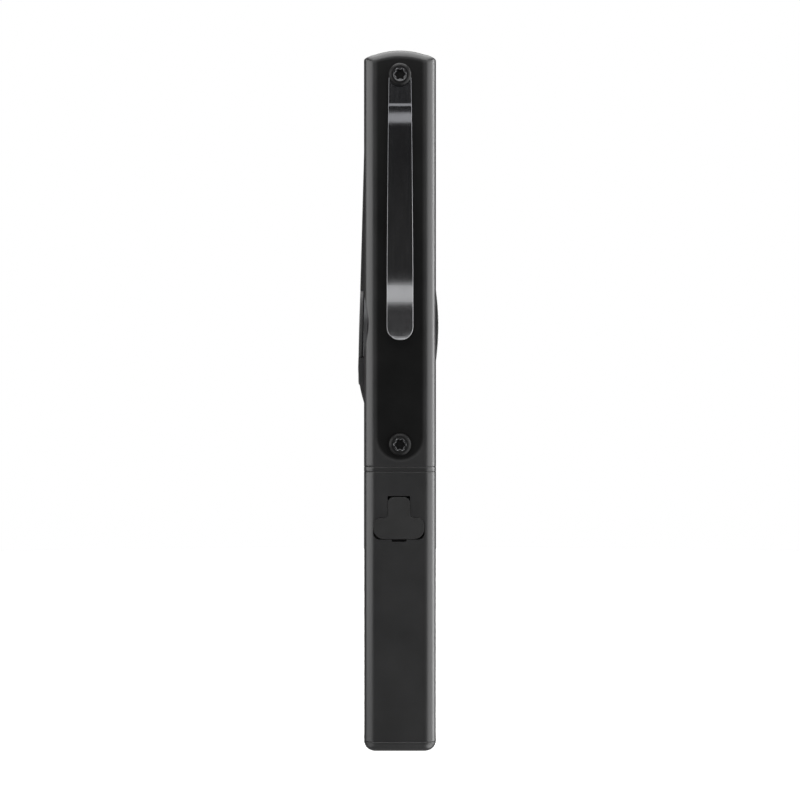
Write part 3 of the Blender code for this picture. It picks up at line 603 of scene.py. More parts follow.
def make_upper_shell():
    z0 = BAND_Z1 + SEAM
    rim = 0.10 * MM
    rings = []
    levels = [(z0, rim), (z0 + 0.3 * rim, 0.3 * rim), (z0 + rim, 0.0)]
    z, fine_step = 71.7 * MM, 0.28 * MM      # close levels where the pocket's foot dishes the face
    while z < POCKET_ARC_Z + 0.2 * MM:
        levels.append((z, 0.0))
        z += fine_step
    levels += [(z, 0.0) for z in (90 * MM, 110 * MM, 130 * MM, 150 * MM, 165 * MM)]
    for z, inset in levels:
        rings.append([Vector((x, y, z)) for x, y in body_ring(inset)])
    fillet_steps = 9
    base = body_ring(0.0)
    angles = ring_angles()
    for k in range(fillet_steps + 1):
        a = math.radians(90 * k / fillet_steps)
        ring = []
        for (x, y), angle in zip(base, angles):
            r = crown_fillet(angle)
            inward = r * (1 - math.cos(a))
            px = x - inward * math.cos(math.radians(angle))
            py = y - inward * math.sin(math.radians(angle))
            top_x = x - r * math.cos(math.radians(angle))
            ring.append(Vector((px, py, crown_z(top_x) - r + r * math.sin(a))))
        rings.append(ring)
    last = rings[-1]
    fill_steps = 10
    for k in range(1, fill_steps):
        t = 1 - k / fill_steps
        rings.append([Vector((p.x * t, p.y * t, crown_z(p.x * t))) for p in last])
    rings.append([Vector((0, 0, crown_z(0)))])
    for ring in rings:
        for p in ring:
            p.y += dish(p.x, p.y, p.z)
    return lofted("shell_upper", rings)


# Frame of the wheel: square to the wedge of the control panel.
WHEEL_JOINT = next(j for j in frame["joints"] if j["name"] == "jog_turn")
WHEEL_AXIS = Vector(WHEEL_JOINT["axis"]).normalized()
WHEEL_AT = Vector(WHEEL_JOINT["pos_m"])
WHEEL_FRAME = facing(WHEEL_AXIS, WHEEL_AT)
WHEEL_R = (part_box("jog_wheel")[1].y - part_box("jog_wheel")[0].y) / 2
WELL_R = WHEEL_R + 0.2 * MM
SLOPE = WHEEL_AXIS.z / -WHEEL_AXIS.x


def wedge_x(z):
    return WHEEL_AT.x + (z - WHEEL_AT.z) * SLOPE


def finish_upper_shell(shell):
    mic_lo, mic_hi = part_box("mic_grille")
    rock_lo, rock_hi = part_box("volume_rocker")
    hold_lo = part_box("hold_slider")[0]
    card_lo, card_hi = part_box("card_slot")
    rear = middle_of("rear_button")
    panel_lo, panel_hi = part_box("control_panel")
    g = 0.12 * MM
    well = [
        (0, 3 * MM), (WELL_R + 0.1 * MM, 3 * MM), (WELL_R, 0.2 * MM), (WELL_R, -2.35 * MM),
        (0, -2.35 * MM),
    ]
    rear_bore = in_mm((0, 12), (10.3, 12), (10.3, 8.2), (4.4, 8.2), (4.4, 6.5), (0, 6.5))
    wheel_side, light_z = (-1, 0, 0), middle_of("status_light").z
    tools = [
        box("t", (WALL_X[0], WALL_Y[0], 0.060), (WALL_X[1], WALL_Y[1], 0.170)),
        rounded_cut(
            "X", (-13 * MM, 13 * MM), (panel_lo.z - g, panel_hi.z + g), 0.5 * MM, -12 * MM, -6.9 * MM, 4,
        ),
        turned("t", well, WHEEL_FRAME, 128),
        cylinder("t", wheel_side, (0, 0, WHEEL_AT.z), 7.9 * MM, 5.0 * MM, 8.5 * MM),
        turned("t", rear_bore, facing((1, 0, 0), (0, 0, rear.z)), 96),
        rounded_cut(
            "X", (mic_lo.y - g, mic_hi.y + g), (mic_lo.z - g, mic_hi.z + g), 2.1 * MM, -12 * MM, -8.1 * MM,
        ),
        *(rounded_cut("Y", u, v, radius, 13.5 * MM, 18 * MM, steps) for u, v, radius, steps in (
            ((rock_lo.x - g, rock_hi.x + g), (rock_lo.z - g, rock_hi.z + g), 0.9 * MM, 6),
            ((-1.65 * MM, 1.65 * MM), (hold_lo.z - 0.2 * MM, 162.8 * MM), 0.9 * MM, 6),
            ((card_lo.x - g, card_hi.x + g), (card_lo.z - g, card_hi.z + g), 0.4 * MM, 4),
        )),
        cylinder("t", wheel_side, (0, 0, light_z), 0.8 * MM, 5 * MM, 10 * MM, 32),
    ]
    for name, axis, x, radius, near, far, steps in (
        ("mic_left", wheel_side, 0, 2.6, 5, 9, 32), ("mic_right", wheel_side, 0, 2.6, 5, 9, 32),
        ("button_record", wheel_side, 0, 3.32, 5, 10, 64), ("button_play", wheel_side, 0, 3.32, 5, 10, 64),
        ("button_stop", wheel_side, 0, 3.32, 5, 10, 64),
        ("headphone_jack", (0, 1, 0), 2.0, 2.7, 13.5, 18, 48),
        ("line_in_jack", (0, 1, 0), 2.0, 2.7, 13.5, 18, 48),
        ("clip_screw", (0, -1, 0), 0, 1.8, 12, 17, 32),
        ("housing_screw", (0, -1, 0), 0, 1.8, 12, 17, 32),
    ):
        at = middle_of(name)
        where = (x * MM, at.y if axis == wheel_side else 0, at.z)
        tools.append(cylinder("t", axis, where, radius * MM, near * MM, far * MM, steps))
    combine(shell, tools)
    soften(shell, 0.07 * MM, 2, 38)
    place(shell, "housing", "body_shell", "upper_housing", material=UPPER)


def make_band():
    band = body_section("shell_band", rounded_levels(BAND_Z0, BAND_Z1, 0.09 * MM, 0.12 * MM))
    x0, x1, y0, y1 = -5.5 * MM, 7.1 * MM, -12.7 * MM, 14.1 * MM
    spigot = prism("t", "Z", [rounded_rect(x0, x1, y0, y1, 0.8 * MM, 4)], RING_LO.z, RING_HI.z)
    combine(band, [spigot], "UNION")
    wall = 1.1 * MM
    combine(
        band,
        [rounded_cut("Z", (x0 + wall, x1 - wall), (y0 + wall, y1 - wall), 0.6 * MM, 0.060, 0.080, 4)],
    )
    soften(band)
    place(band, "housing", "section_ring", "joint_ring", material=BAND)


COVER_LO, COVER_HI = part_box("port_cover")
COVER_X = (COVER_LO.x + COVER_HI.x) / 2


def cover_outline(grow, foot_r):
    """Wide lower lobe, with feet rounded by foot_r, under a narrower lobe."""
    wide = (COVER_HI.x - COVER_LO.x) / 2 + grow
    narrow = 2.75 * MM + grow
    low, top = COVER_LO.z - grow, COVER_HI.z + grow
    mid = COVER_LO.z + 5.4 * MM + grow
    r_wide, r_low, r_top, r_in = 1.75 * MM + grow, foot_r, 1.5 * MM + grow, 1.15 * MM - grow
    cx = COVER_X
    return (
        arc(cx + wide - r_low, low + r_low, r_low, -90, 0, 10)
        + arc(cx + wide - r_wide, mid - r_wide, r_wide, 0, 90, 10)
        + arc(cx + narrow + r_in, mid + r_in, r_in, 270, 180, 8)
        + arc(cx + narrow - r_top, top - r_top, r_top, 0, 90, 10)
        + arc(cx - narrow + r_top, top - r_top, r_top, 90, 180, 10)
        + arc(cx - narrow - r_in, mid + r_in, r_in, 360, 270, 8)
        + arc(cx - wide + r_wide, mid - r_wide, r_wide, 90, 180, 10)
        + arc(cx - wide + r_low, low + r_low, r_low, 180, 270, 10)
    )


def make_lower_shell():
    top = BAND_Z0 - SEAM
    shell = body_section("shell_lower", rounded_levels(CAP_SEAM_Z + SEAM / 2, top, 0.10 * MM, 0.13 * MM))
    speak_lo, speak_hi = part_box("speaker_grille")
    speaker = middle_of("speaker")
    g = 0.12 * MM
    recess_y = -HALF_D + 1.9 * MM
    insert = middle_of("tripod_insert")
    tools = [
        box("t", (-7.4 * MM, WALL_Y[0], LOW_LO.z + 4.3 * MM), (7.4 * MM, WALL_Y[1], 0.080)),
        prism("t", "Y", [cover_outline(0.07 * MM, 1.7 * MM)], -17.5 * MM, recess_y),
        rounded_cut(
            "Y", (-2.1 * MM, 1.65 * MM), (COVER_LO.z - 0.62 * MM, COVER_LO.z + 0.4 * MM), 0.28 * MM,
            -17.5 * MM, recess_y, 5,
        ),
        box("t", (COVER_X - 4.9 * MM, -16 * MM, 54.0 * MM), (COVER_X + 4.9 * MM, -12 * MM, 58.5 * MM)),
        rounded_cut(
            "X", (
                speak_lo.y - g, speak_hi.y + g,
            ), (speak_lo.z - g, speak_hi.z + g), 2.1 * MM, 8.4 * MM, 11 * MM,
        ),
        cylinder("t", (1, 0, 0), (0, speaker.y, speaker.z), 6.0 * MM, 6.0 * MM, 9.5 * MM),
        cylinder("t", (0, 0, 1), (0, insert.y, 0), 4.7 * MM, 1 * MM, 8 * MM),
    ]
    for name in ("cap_screw_1", "cap_screw_2"):
        at = middle_of(name)
        tools.append(cylinder("t", (0, 0, 1), (at.x, at.y, 0), 1.3 * MM, 1 * MM, 8 * MM, 32))
    hinge = next(j for j in frame["joints"] if j["name"] == "cover_hinge")["pos_m"]
    tools.append(cylinder("t", (1, 0, 0), (COVER_X, hinge[1], hinge[2]), 1.5 * MM, -2.8 * MM, 2.8 * MM, 48))
    combine(shell, tools)
    soften(shell, 0.05 * MM, 2, 38)
    place(shell, "housing", "body_shell", "lower_housing", material=SHELL)


def make_cap():
    steps = 9
    high = CAP_SEAM_Z - SEAM / 2
    levels = []
    for i in range(steps + 1):
        a = math.radians(90 * i / steps)
        levels.append((high * (1 - math.cos(a)) * 0.96, 2.85 * MM * (1 - math.sin(a))))
    levels.append((high, 0.06 * MM))
    cap = body_section("shell_cap", levels)
    insert = middle_of("tripod_insert")
    tools = [cylinder("t", (0, 0, 1), (0, insert.y, 0), 4.62 * MM, -1 * MM, 4 * MM)]
    for name in ("cap_screw_1", "cap_screw_2"):
        at = middle_of(name)
        profile = in_mm((0, 4), (1.3, 4), (1.3, 1.3), (1.75, 1.2), (1.75, -1), (0, -1))
        tools.append(turned("t", profile, Matrix.Translation((at.x, at.y, 0)), 48))
    combine(cap, tools)
    soften(cap, 0.05 * MM, 2, 40)
    place(cap, "housing", "body_shell", "bottom_cap", material=SHELL)


# ---- Clip side ----------------------------------------------------------------------------
EYE_LO, EYE_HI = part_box("clip_eye")
BLADE_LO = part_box("clip_blade")[0]
CLIP_T = EYE_HI.y - EYE_LO.y
ROOT_Z = EYE_LO.z


def clip_half_width(z):
    """Half width of the strip: 21 parts wide at its screw, 26 at its tip."""
    t = min(max((EYE_HI.z - z) / (EYE_HI.z - 118 * MM), 0.0), 1.0)
    return (5.25 * MM + 1.25 * MM * t**0.55) / 2


def clip_line():
    """(z, y, heading) along the strip's middle from the root down, evenly stepped and smooth."""
    turns = (
        (1.80 * MM, None, 3), (5.1 * MM, 14.5, 12), (19.3 * MM, -0.5, 26), (34.45 * MM, None, 40),
        (37.2 * MM, 17.0, 24),
    )
    z, y, heading = ROOT_Z, EYE_LO.y + CLIP_T / 2, 0.0
    points = [(z, y, heading)]
    for size, target, steps in turns:
        step = 0.0 if target is None else (target - heading) / steps
        length = size / steps if target is None else 2 * size * math.sin(math.radians(abs(step) / 2))
        for _ in range(steps):
            middle = math.radians(heading + step / 2)
            z -= length * math.cos(middle)
            y -= length * math.sin(middle)
            heading += step
            points.append((z, y, heading))
    for _ in range(24):
        length = (z - BLADE_LO.z) / math.cos(math.radians(heading)) / 24
        points.append((points[-1][0] - length * math.cos(math.radians(heading)),
                       points[-1][1] - length * math.sin(math.radians(heading)), heading))
    return points


def make_clip():
    """A flat strip with rounded rims and an eye, cut into short steps and bent along its line."""
    line = clip_line()
    tip_z = line[-1][0]
    eye_z = middle_of("clip_screw").z
    half = clip_half_width(tip_z + 3 * MM)
    outline = arc(0, eye_z, clip_half_width(eye_z), 0, 180, 24)
    down = [eye_z - (eye_z - tip_z - half) * i / 30 for i in range(31)]
    outline += [(-clip_half_width(z), z) for z in down[1:-1]]
    outline += arc(0, tip_z + half, half, 180, 360, 28)
    outline += [(clip_half_width(z), z) for z in reversed(down[1:-1])]
    hole = circle(0, eye_z, 1.7 * MM, 32)
    strip = prism("pocket_clip", "Y", [outline, hole], -CLIP_T / 2, CLIP_T / 2, 0.09 * MM, 3)
    shape = bmesh.new()
    shape.from_mesh(strip.data)
    for z, _, _ in line[:-1]:
        everything = list(shape.verts) + list(shape.edges) + list(shape.faces)
        bmesh.ops.bisect_plane(shape, geom=everything, plane_co=(0, 0, z), plane_no=(0, 0, 1))
    levels = [p[0] for p in line]
    for v in shape.verts:
        z, offset = v.co.z, v.co.y
        if z >= levels[0]:
            v.co.y = line[0][1] + offset
            continue
        i = 0
        while i < len(levels) - 2 and levels[i + 1] > z:
            i += 1
        t = (levels[i] - z) / (levels[i] - levels[i + 1])
        y = line[i][1] + (line[i + 1][1] - line[i][1]) * t
        heading = math.radians(line[i][2] + (line[i + 1][2] - line[i][2]) * t)
        v.co.y = y + offset * math.cos(heading)
        v.co.z = z - offset * math.sin(heading)
    shape.to_mesh(strip.data)
    shape.free()
    soften(strip, sharp=50)
    apply_modifiers(strip)
    place(strip, None, "black_clip", "clip_eye", "clip_blade", material=CLIP)
    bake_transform(strip)


def six_lobe(radius, at_z, steps=10):
    points = []
    for i in range(6 * steps):
        angle = 2 * math.pi * i / (6 * steps)
        reach = radius * (0.865 + 0.135 * math.cos(6 * angle))
        points.append((reach * math.cos(angle), at_z + reach * math.sin(angle)))
    return points


def make_screw(name, node):
    """Pan head with a turned rim, a faint raised ring and a deep six-lobed socket of bare steel."""
    low, high, at = extent(node)
    seat = -HALF_D + 0.05 * MM if node == "housing_screw" else EYE_LO.y - 0.05 * MM
    out = seat - low.y
    r = (high.x - low.x) / 2
    head = [
        *below(
            out, (0, 0.05), (1.45, 0.05), (1.75, 0.03), (1.95, 0), (2.12, 0.03), (2.35, 0.13),
            (2.62, 0.34),
        ),
        (r - 0.03 * MM, out - 0.60 * MM), (r, out - 0.72 * MM), (r, 0.08 * MM), (r - 0.08 * MM, 0),
        (1.4 * MM, 0), (1.4 * MM, -5.0 * MM), (0, -5.0 * MM),
    ]
    screw = turned(name, head, facing((0, -1, 0), (0, seat, at.z)), 96)
    socket_r = 1.67 * MM
    face_y = seat - out
    rings = []
    for depth, reach in (
        (-0.4 * MM, socket_r), (0.0, socket_r), (0.45 * MM, 1.22 * MM), (0.95 * MM, 1.10 * MM),
    ):
        rings.append([Vector((x, face_y + depth, z)) for x, z in six_lobe(reach, at.z)])
    combine(screw, [lofted("t", rings)])
    screw.data.materials.clear()
    for mat in (SCREW, SOCKET):
        screw.data.materials.append(mat)
    for face in screw.data.polygons:
        c = face.center
        depth = c.y - face_y
        if 0.0 < depth < 0.93 * MM and math.hypot(c.x, c.z - at.z) < socket_r * 1.01:
            face.material_index = 1
    soften(screw, 0.035 * MM, 2, 45, 40)
    place(screw, "housing", "black_screw", node)


def make_cover():
    front = COVER_LO.y
    flap = prism("cover_flap", "Y", [cover_outline(0.0, 2.75 * MM)], front, front + 1.2 * MM, 0.13 * MM, 3)
    sides = (COVER_X - 4 * MM, COVER_X + 4 * MM)
    plug = rounded_cut("Y", sides, (55.1 * MM, 57.5 * MM), 1.1 * MM, front + 0.8 * MM, COVER_HI.y, 6)
    combine(flap, [plug], "UNION")
    soften(flap)
    place(flap, "cover", "port_rubber", "port_cover", material=RUBBER)


# ---- Control face -------------------------------------------------------------------------
def make_panel():
    low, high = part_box("control_panel")
    z0, z1 = low.z - 0.15 * MM, high.z + 0.15 * MM
    break_z = 95.8 * MM
    foot = [(-7.2 * MM, z0), (-HALF_W - 0.02 * MM, z0)]
    steps = 16
    peak = wedge_x(break_z)
    for i in range(1, steps + 1):
        t = i / steps
        foot.append((-HALF_W + (peak + HALF_W) * (1 - (1 - t) ** 1.9), z0 + (break_z - z0) * t))
    outline = foot + [(-HALF_W - 0.01 * MM, z1), (-7.2 * MM, z1)]
    panel = prism("control_wedge", "Y", [outline], -12.9 * MM, 12.9 * MM, 0.12 * MM, 3)
    lens_lo, lens_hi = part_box("display_lens")
    mod_lo, mod_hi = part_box("display_module")
    depth = 2.35 * MM
    well = [(0, 3 * MM), (WELL_R, 3 * MM), (WELL_R, -depth), (0, -depth)]
    mid = (lens_lo.z + lens_hi.z) / 2
    turn = facing(WHEEL_AXIS, (wedge_x(mid), 0, mid))
    half_z = (lens_hi.z - lens_lo.z) / 2 + 0.08 * MM
    half_y = lens_hi.y + 0.08 * MM
    recess = prism(
        "t", "Z", [rounded_rect(-half_z, half_z, -half_y, half_y, 0.8 * MM, 6)], -1.0 * MM, 1.0 * MM,
    )
    recess.data.transform(turn @ turned_to_height(turn))
    combine(panel, [
        turned("t", well, WHEEL_FRAME, 128),
        cylinder("t", (-1, 0, 0), (0, 0, WHEEL_AT.z), 7.9 * MM, 5 * MM, 9.5 * MM),
        recess,
        box(
            "t", (-12 * MM, mod_lo.y - 0.3 * MM, mod_lo.z - 0.3 * MM),
            (-6 * MM, mod_hi.y + 0.3 * MM, mod_hi.z + 0.3 * MM),
        ),
    ])
    soften(panel, 0.06 * MM, 2, 40)
    place(panel, "housing", "control_panel", "control_panel", material=PANEL)
    half_z -= 0.08 * MM
    half_y -= 0.08 * MM
    lens = prism("display_glass", "Z", [rounded_rect(-half_z, half_z, -half_y, half_y, 0.75 * MM, 8)],
                 -0.7 * MM, -0.02 * MM, 0.08 * MM, 2)
    lens.data.transform(turn @ turned_to_height(turn))
    soften(lens)
    place(lens, "housing", "display_lens", "display_lens", material=LENS)


def turned_to_height(turn):
    """Rotation about the local Z that lays the local X axis along the wedge's height."""
    up = turn.to_3x3().inverted() @ Vector((0, 0, 1))
    return Matrix.Rotation(math.atan2(up.y, up.x), 4, "Z")


def finger_dimple():
    """The ball that sinks a finger dimple into the wheel's face."""
    ball_r, out, turn = 9.0 * MM, 11.2 * MM, math.radians(35)
    at = WHEEL_FRAME @ Vector((out * math.cos(turn), out * math.sin(turn), 0))
    sphere = bmesh.new()
    bmesh.ops.create_uvsphere(sphere, u_segments=48, v_segments=32, radius=ball_r)
    bmesh.ops.translate(sphere, vec=at + WHEEL_AXIS * (ball_r - 0.55 * MM), verts=sphere.verts)
    return from_bmesh("t", sphere)


def make_wheel():
    r = WHEEL_R
    cap_t = 0.90 * MM
    cap = [
        *in_mm((6.6, -0.42), (6.75, -0.33), (7.4, -0.30), (8.5, -0.34), (10.5, -0.30), (12.5, -0.16)),
        *in_mm((13.8, -0.05), (14.5, -0.01)),
        (r - 0.35 * MM, -0.02 * MM), (r - 0.16 * MM, -0.08 * MM), (r - 0.04 * MM, -0.2 * MM),
        (r, -0.36 * MM), (r, -cap_t + 0.1 * MM), (r - 0.1 * MM, -cap_t), (7.5 * MM, -cap_t), (7.5 * MM, -5.2 * MM),
        (6.6 * MM, -5.2 * MM),
    ]
    wheel = turned("wheel_cap", cap, WHEEL_FRAME, 128)
    combine(wheel, [finger_dimple()])
    soften(wheel, sharp=25)
    place(wheel, "wheel", "wheel_black", "jog_wheel", material=WHEEL)

    top, low = -cap_t - 0.16 * MM, -2.25 * MM
    teeth = 180
    rings = []
    outer = r - 0.08 * MM
    for radius, height, notch in (
        (7.8 * MM, top, 0), (outer - 0.1 * MM, top, 0), (outer, top - 0.08 * MM, 0.05 * MM),
        (outer, low + 0.08 * MM, 0.05 * MM), (outer - 0.1 * MM, low, 0), (7.8 * MM, low, 0),
    ):
        ring = []
        for i in range(teeth * 2):
            a = math.pi * i / teeth
            reach = radius - (notch if i % 2 else 0)
            ring.append(WHEEL_FRAME @ Vector((reach * math.cos(a), reach * math.sin(a), height)))
        rings.append(ring)
    rings.append(rings[0])
    ring = lofted("wheel_ring", rings, close_ends=False)
    weld(ring)
    soften(ring, sharp=30)
    place(ring, "wheel", "satin_ring", "jog_ring", material=SATIN)

    select = in_mm(
        (0, -0.72), (
            2.5, -0.68,
        ), (4.5, -0.52), (5.6, -0.38), (6.05, -0.36), (6.22, -0.44), (6.3, -0.6), (6.3, -2.0),
        (2.5, -2.0), (2.5, -5.6), (0, -5.6),
    )
    button = turned("select_key", select, WHEEL_FRAME, 96)
    soften(button, sharp=30)
    place(button, "select", "key_plastic", "select_button", material=KEYS)


def key_mark(kind, at):
    """Raised generic mark: a dot, a triangle or a square."""
    if kind == "dot":
        outline = circle(at.y, at.z, 0.95 * MM, 32)
    elif kind == "triangle":
        outline = [(at.y + 0.95 * MM * math.cos(a), at.z + 0.95 * MM * math.sin(a))
                   for a in (math.radians(180 + 120 * i) for i in range(3))]
    else:
        s = 0.78 * MM
        outline = [(at.y - s, at.z - s), (at.y + s, at.z - s), (at.y + s, at.z + s), (at.y - s, at.z + s)]
    return outline


def make_keys():
    for name, node, body, mat, slot, kind in (
        ("key_record", "button_record", "record_key", RED, "record_key", "dot"),
        ("key_play", "button_play", "play_key", KEYS, "key_plastic", "triangle"),
        ("key_stop", "button_stop", "stop_key", KEYS, "key_plastic", "square"),
    ):
        at = middle_of(node)
        face = HALF_W - 0.05 * MM
        profile = [
            *below(
                face, (0, 0.14), (1.6, 0.12), (2.5, 0.05), (2.85, 0.01), (3.05, 0.04), (3.16, 0.13),
                (3.2, 0.28),
            ),
            *in_mm((3.2, 5.5), (3.8, 5.5), (3.8, 5.0), (1.5, 5.0), (1.5, 4.45), (0, 4.45)),
        ]
        key = turned(name, profile, facing((-1, 0, 0), (0, at.y, at.z)), 64)
        soften(key, sharp=30)
        place(key, body, slot, node, material=mat)
        mark = prism(name + "_mark", "X", [key_mark(kind, at)], -face, -face + 0.3 * MM, 0.02 * MM, 1)
        soften(mark)
        place(mark, body, slot, material=MARK)


def perforated(name, axis, outline, centre, columns, rows, pitch, low, high):
    """A plate with staggered round holes and rounded rims."""
    y0, y1 = min(p[0] for p in outline) + 0.9 * MM, max(p[0] for p in outline) - 0.9 * MM
    holes = []
    for row in range(rows):
        v = centre[1] + (row - (rows - 1) / 2) * pitch * 0.866
        for column in range(columns):
            u = centre[0] + (column - (columns - 1) / 2) * pitch + (pitch / 2 if row % 2 else 0)
            if y0 < u < y1:
                holes.append(circle(u, v, 0.29 * pitch, 14))
    return prism(name, axis, [outline] + holes, low, high, 0.05 * MM, 1)


def make_grilles():
    for name, node, columns in (("grille_mic", "mic_grille", 15), ("grille_speaker", "speaker_grille", 13)):
        low, high, mid = extent(node)
        outline = rounded_rect(low.y, high.y, low.z, high.z, 2.0 * MM, 8)
        grille = perforated(name, "X", outline, (mid.y, mid.z), columns, 11, 1.3 * MM, low.x, high.x)
        soften(grille)
        place(grille, "housing", "black_grille", node, material=GRILLE)


def make_rear_button():
    low, high, at = extent("rear_button")
    face = high.x
    r = (high.z - low.z) / 2
    profile = [(0, face)]
    for i in range(1, 13):
        t = i / 12
        profile.append((r * t, face - 0.74 * MM * t * t))
    profile += [(r - 0.1 * MM, face - 0.80 * MM), (r - 0.5 * MM, face - 0.82 * MM), (r - 0.5 * MM, 8.8 * MM)]
    profile += in_mm((4.0, 8.8), (4.0, 1.6), (0, 1.6))
    button = turned("rear_key_cap", profile, facing((1, 0, 0), (0, 0, at.z)), 128)
    soften(button, sharp=28)
    place(button, "rear_key", "rear_button_black", "rear_button", material=REAR)


def make_back_controls():
    low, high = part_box("volume_rocker")
    rocker = prism(
        "rocker_key", "Y", [rounded_rect(low.x, high.x, low.z, high.z, 0.8 * MM, 8)], low.y, high.y,
        0.25 * MM, 4,
    )
    mid = (low + high) / 2
    combine(rocker, [prism("t", "X", [circle(high.y + 4.55 * MM, mid.z, 4.8 * MM, 96)], -3 * MM, 3 * MM)])
    soften(rocker, 0.06 * MM, 2, 40)
    place(rocker, "rocker", "key_plastic", "volume_rocker", material=KEYS)
    low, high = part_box("hold_slider")
    slider = prism(
        "hold_key", "Y", [rounded_rect(low.x, high.x, low.z, high.z, 0.7 * MM, 8)], low.y, high.y,
        0.2 * MM, 4,
    )
    mid = (low + high) / 2
    grooves = []
    for k in (-1, 0, 1):
        z = mid.z + k * 0.9 * MM
        grooves.append(box(
            "t", (-1.1 * MM, high.y - 0.22 * MM, z - 0.16 * MM),
            (1.1 * MM, high.y + 1 * MM, z + 0.16 * MM),
        ))
    combine(slider, grooves)
    soften(slider, 0.04 * MM, 2, 40)
    place(slider, "slider", "key_plastic", "hold_slider", material=KEYS)
    for name, node in (("jack_headphone", "headphone_jack"), ("jack_line_in", "line_in_jack")):
        low, high, mid = extent(node)
        face = high.y
        jack = prism(
            name, "X", [rounded_rect(low.y, 14.1 * MM, low.z, high.z, 0.4 * MM, 4)], low.x, high.x,
            0.1 * MM, 2,
        )
        where = facing((0, 1, 0), (2.0 * MM, 0, mid.z))
        nose = below(face, (0, 0), (2.3, 0), (2.52, 0.06), (2.6, 0.2)) + in_mm((2.6, 13), (0, 13))
        bore = [
            *in_mm((0, 17), (2.1, 17)), *below(face, (2.1, 0.01), (1.8, 0.3)), *in_mm((1.8, 4.5), (0, 4.5)),
        ]
        combine(jack, [turned("t", nose, where, 64)], "UNION")
        combine(jack, [turned("t", bore, where, 64)])
        soften(jack, sharp=30)
        place(jack, "housing", "component_black", node, material=DARK)


def make_base_fittings():
    low, high, at = extent("tripod_insert")
    r, bore, top = (high.x - low.x) / 2, 2.55 * MM, high.z
    profile = [
        (bore, top), (r, top), (r, 0.15 * MM), (r - 0.15 * MM, 0.0), (bore + 0.6 * MM, 0.0),
        (bore + 0.2 * MM, 0.45 * MM),
    ]
    z = 0.5 * MM
    pitch = 1.27 * MM
    while z + pitch < top - 0.4 * MM:
        profile.append((bore + 0.02 * MM, z + 0.10 * MM))
        profile.append((bore + 0.55 * MM, z + 0.62 * MM))
        profile.append((bore + 0.55 * MM, z + 0.68 * MM))
        z += pitch
    profile.append((bore, z + 0.1 * MM))
    insert = turned("tripod_bush", profile, Matrix.Translation((at.x, at.y, 0)), 64)
    soften(insert, sharp=30)
    place(insert, "housing", "brass_insert", "tripod_insert", material=BRASS)
    for i in (1, 2):
        node = f"cap_screw_{i}"
        low, high, at = extent(node)
        r = (high.x - low.x) / 2
        profile = [
            (0, high.z), (
                1 * MM, high.z,
            ), (1 * MM, 1.05 * MM), (r, 0.95 * MM), (r, 0.35 * MM), (r - 0.12 * MM, 0.16 * MM),
            (r - 0.4 * MM, low.z), (0, low.z),
        ]
        screw = turned(f"cap_fixing_{i}", profile, Matrix.Translation((at.x, at.y, 0)), 64)
        s = 0.16 * MM
        cross = [
            box("t", (at.x - u, at.y - v, -1 * MM), (at.x + u, at.y + v, 0.65 * MM))
            for u, v in ((0.9 * MM, s), (s, 0.9 * MM))
        ]
        combine(screw, cross)
        soften(screw, sharp=35)
        place(screw, "housing", "black_screw", node, material=SCREW)


# ---- CAD pieces that stay -----------------------------------------------------------------
KEPT = {
    "display_module": LENS, "jog_encoder": DARK, "select_switch": STEEL, "rear_switch": STEEL,
    "keypad_membrane": SILICONE, "main_board": BOARD, "io_board": BOARD, "board_screw_1": STEEL,
    "board_screw_2": STEEL, "board_screw_3": STEEL,
    "mic_left": STEEL, "mic_right": STEEL, "status_light": LIGHT, "card_slot": STEEL, "chassis": ALLOY,
    "battery_pack": WRAP, "usb_port": STEEL, "speaker": DARK,
}


def paint_kept_nodes():
    for name, mat in KEPT.items():
        node = frame["nodes"][name]
        node.data.materials.clear()
        node.data.materials.append(mat)


# ---- Stage, lights and camera -------------------------------------------------------------
def make_stage():
    n = Nodes("stage_white")
    at = n.coords()
    n.join(
        n.mix(n.noise(at, 3.0, 2.0), (0.90, 0.90, 0.90), (0.93, 0.93, 0.93)),
        n.shader.inputs["Base Color"],
    )
    n.set("Roughness", 0.9)
    n.set("Specular IOR Level", 0.1)
    n.set("Emission Color", (1.0, 1.0, 1.0, 1.0))
    n.set("Emission Strength", 0.95)
    shape = bmesh.new()
    bmesh.ops.create_circle(shape, cap_ends=True, radius=0.75, segments=96)
    floor = from_bmesh("floor", shape)
    floor.data.materials.append(n.material)
    floor.visible_diffuse = False
    floor.visible_glossy = False
    floor.visible_shadow = False

    world = bpy.data.worlds.new("studio")
    bpy.context.scene.world = world
    world.use_nodes = True
    tree = world.node_tree
    tree.nodes.clear()
    out, mix, path, dim, pale, coord, split, glow = (
        tree.nodes.new("ShaderNode" + kind) for kind in (
            "OutputWorld", "MixShader", "LightPath", "Background", "Background", "TexCoord", "SeparateXYZ",
            "MapRange",
        )
    )
    dim.inputs["Color"].default_value = pale.inputs["Color"].default_value = (1, 1, 1, 1)
    pale.inputs["Strength"].default_value = 1.0
    glow.interpolation_type = "SMOOTHSTEP"
    for socket, value in (("From Min", 0.05), ("From Max", -0.60), ("To Min", 0.05), ("To Max", 0.30)):
        glow.inputs[socket].default_value = value
    for source, target in (
        (coord.outputs["Generated"], split.inputs[0]), (split.outputs["Z"], glow.inputs["Value"]),
        (glow.outputs["Result"], dim.inputs["Strength"]), (path.outputs["Is Camera Ray"], mix.inputs["Fac"]),
        (dim.outputs[0], mix.inputs[1]), (pale.outputs[0], mix.inputs[2]),
        (mix.outputs[0], out.inputs["Surface"]),
    ):
        tree.links.new(source, target)


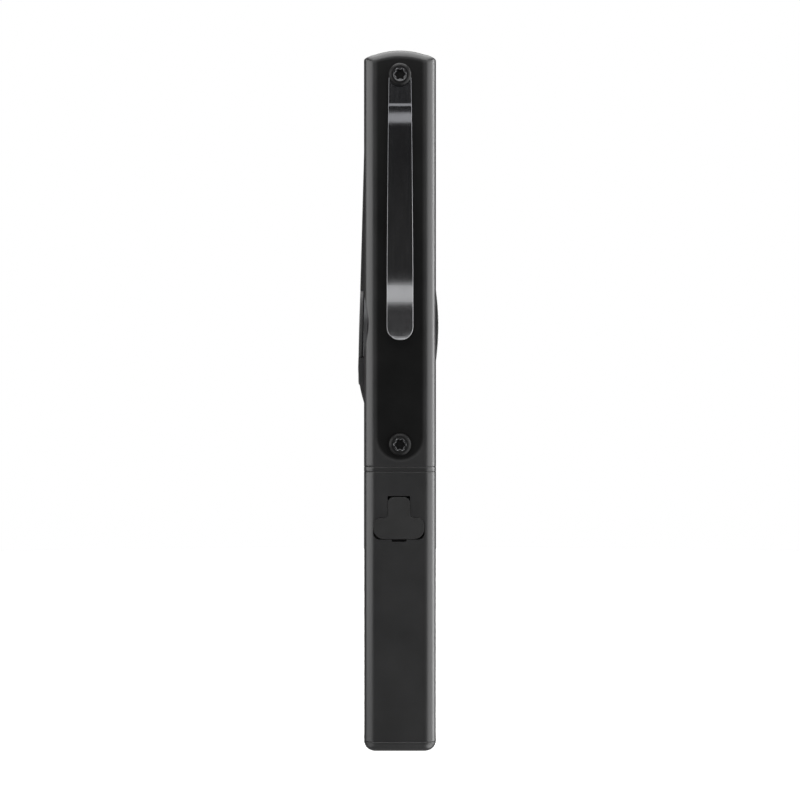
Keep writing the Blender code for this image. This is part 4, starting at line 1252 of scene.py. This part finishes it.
def area_light(name, where, target, size, radiance):
    """A one-sided softbox of a given radiance, aimed at a point and hidden from the camera."""
    lamp = bpy.data.lights.new(name, "AREA")
    lamp.shape = "RECTANGLE"
    lamp.size, lamp.size_y = size
    lamp.energy = radiance * math.pi * size[0] * size[1]
    obj = bpy.data.objects.new(name, lamp)
    bpy.context.scene.collection.objects.link(obj)
    obj.location = where
    direction = Vector(target) - Vector(where)
    obj.rotation_euler = direction.to_track_quat("-Z", "Y").to_euler()
    obj.visible_camera = False


CENTRE = (0, 0, 0.088)        # the point that the lights aim at


def around(azimuth, elevation, distance):
    """A place seen from the object at an azimuth from the clip side towards +X, and an elevation."""
    a, e = math.radians(azimuth), math.radians(elevation)
    return Vector(CENTRE) + distance * Vector((
        math.sin(a) * math.cos(e), -math.cos(a) * math.cos(e), math.sin(e),
    ))


# Azimuth, elevation and distance from the object, width and height, radiance.
SOFTBOXES = {
    "left_box": (-69, 12, 0.90, (1.30, 0.84), 3.3),
    "left_low": (-60, -42, 0.90, (1.00, 0.60), 1.2),
    "right_low": (75, -48, 0.90, (1.00, 0.70), 3.6),
    "right_box": (54, 8, 0.90, (0.72, 1.04), 3.2),
    "right_side": (83, 8, 0.90, (0.24, 1.04), 3.0),
    "right_rim": (103, 8, 0.90, (0.36, 1.04), 9.0),
    "front_strip": (0, 23.8, 1.09, (0.60, 0.27), 1.28),
    "back_box": (180, 4, 0.90, (0.22, 0.60), 2.0),
}


def make_lights():
    area_light("top_box", (0, 0, 0.75), (0, 0, 0), (0.80, 1.10), 4.2)
    for name, (azimuth, elevation, distance, size, radiance) in SOFTBOXES.items():
        area_light(name, around(azimuth, elevation, distance), CENTRE, size, radiance)


def make_camera():
    """Level with the middle of the object and square to the clip side."""
    distance = 0.560
    width = 0.200
    camera = bpy.data.cameras.new("camera")
    camera.sensor_width = 36.0
    camera.lens = 36.0 * distance / width
    camera.clip_start = 0.01
    obj = bpy.data.objects.new("camera", camera)
    bpy.context.scene.collection.objects.link(obj)
    obj.location = (0, -HALF_D + BODY_R - distance, 0.08765)
    obj.rotation_euler = (math.radians(90), 0, 0)
    bpy.context.scene.camera = obj


# ---- Build --------------------------------------------------------------------------------
make_camera()
make_stage()
make_lights()
finish_upper_shell(make_upper_shell())
make_band()
make_lower_shell()
make_cap()
make_clip()
make_screw("screw_clip", "clip_screw")
make_screw("screw_housing", "housing_screw")
make_cover()
make_panel()
make_wheel()
make_keys()
make_grilles()
make_rear_button()
make_back_controls()
make_base_fittings()
paint_kept_nodes()
bpy.context.scene.view_settings.view_transform = "Standard"
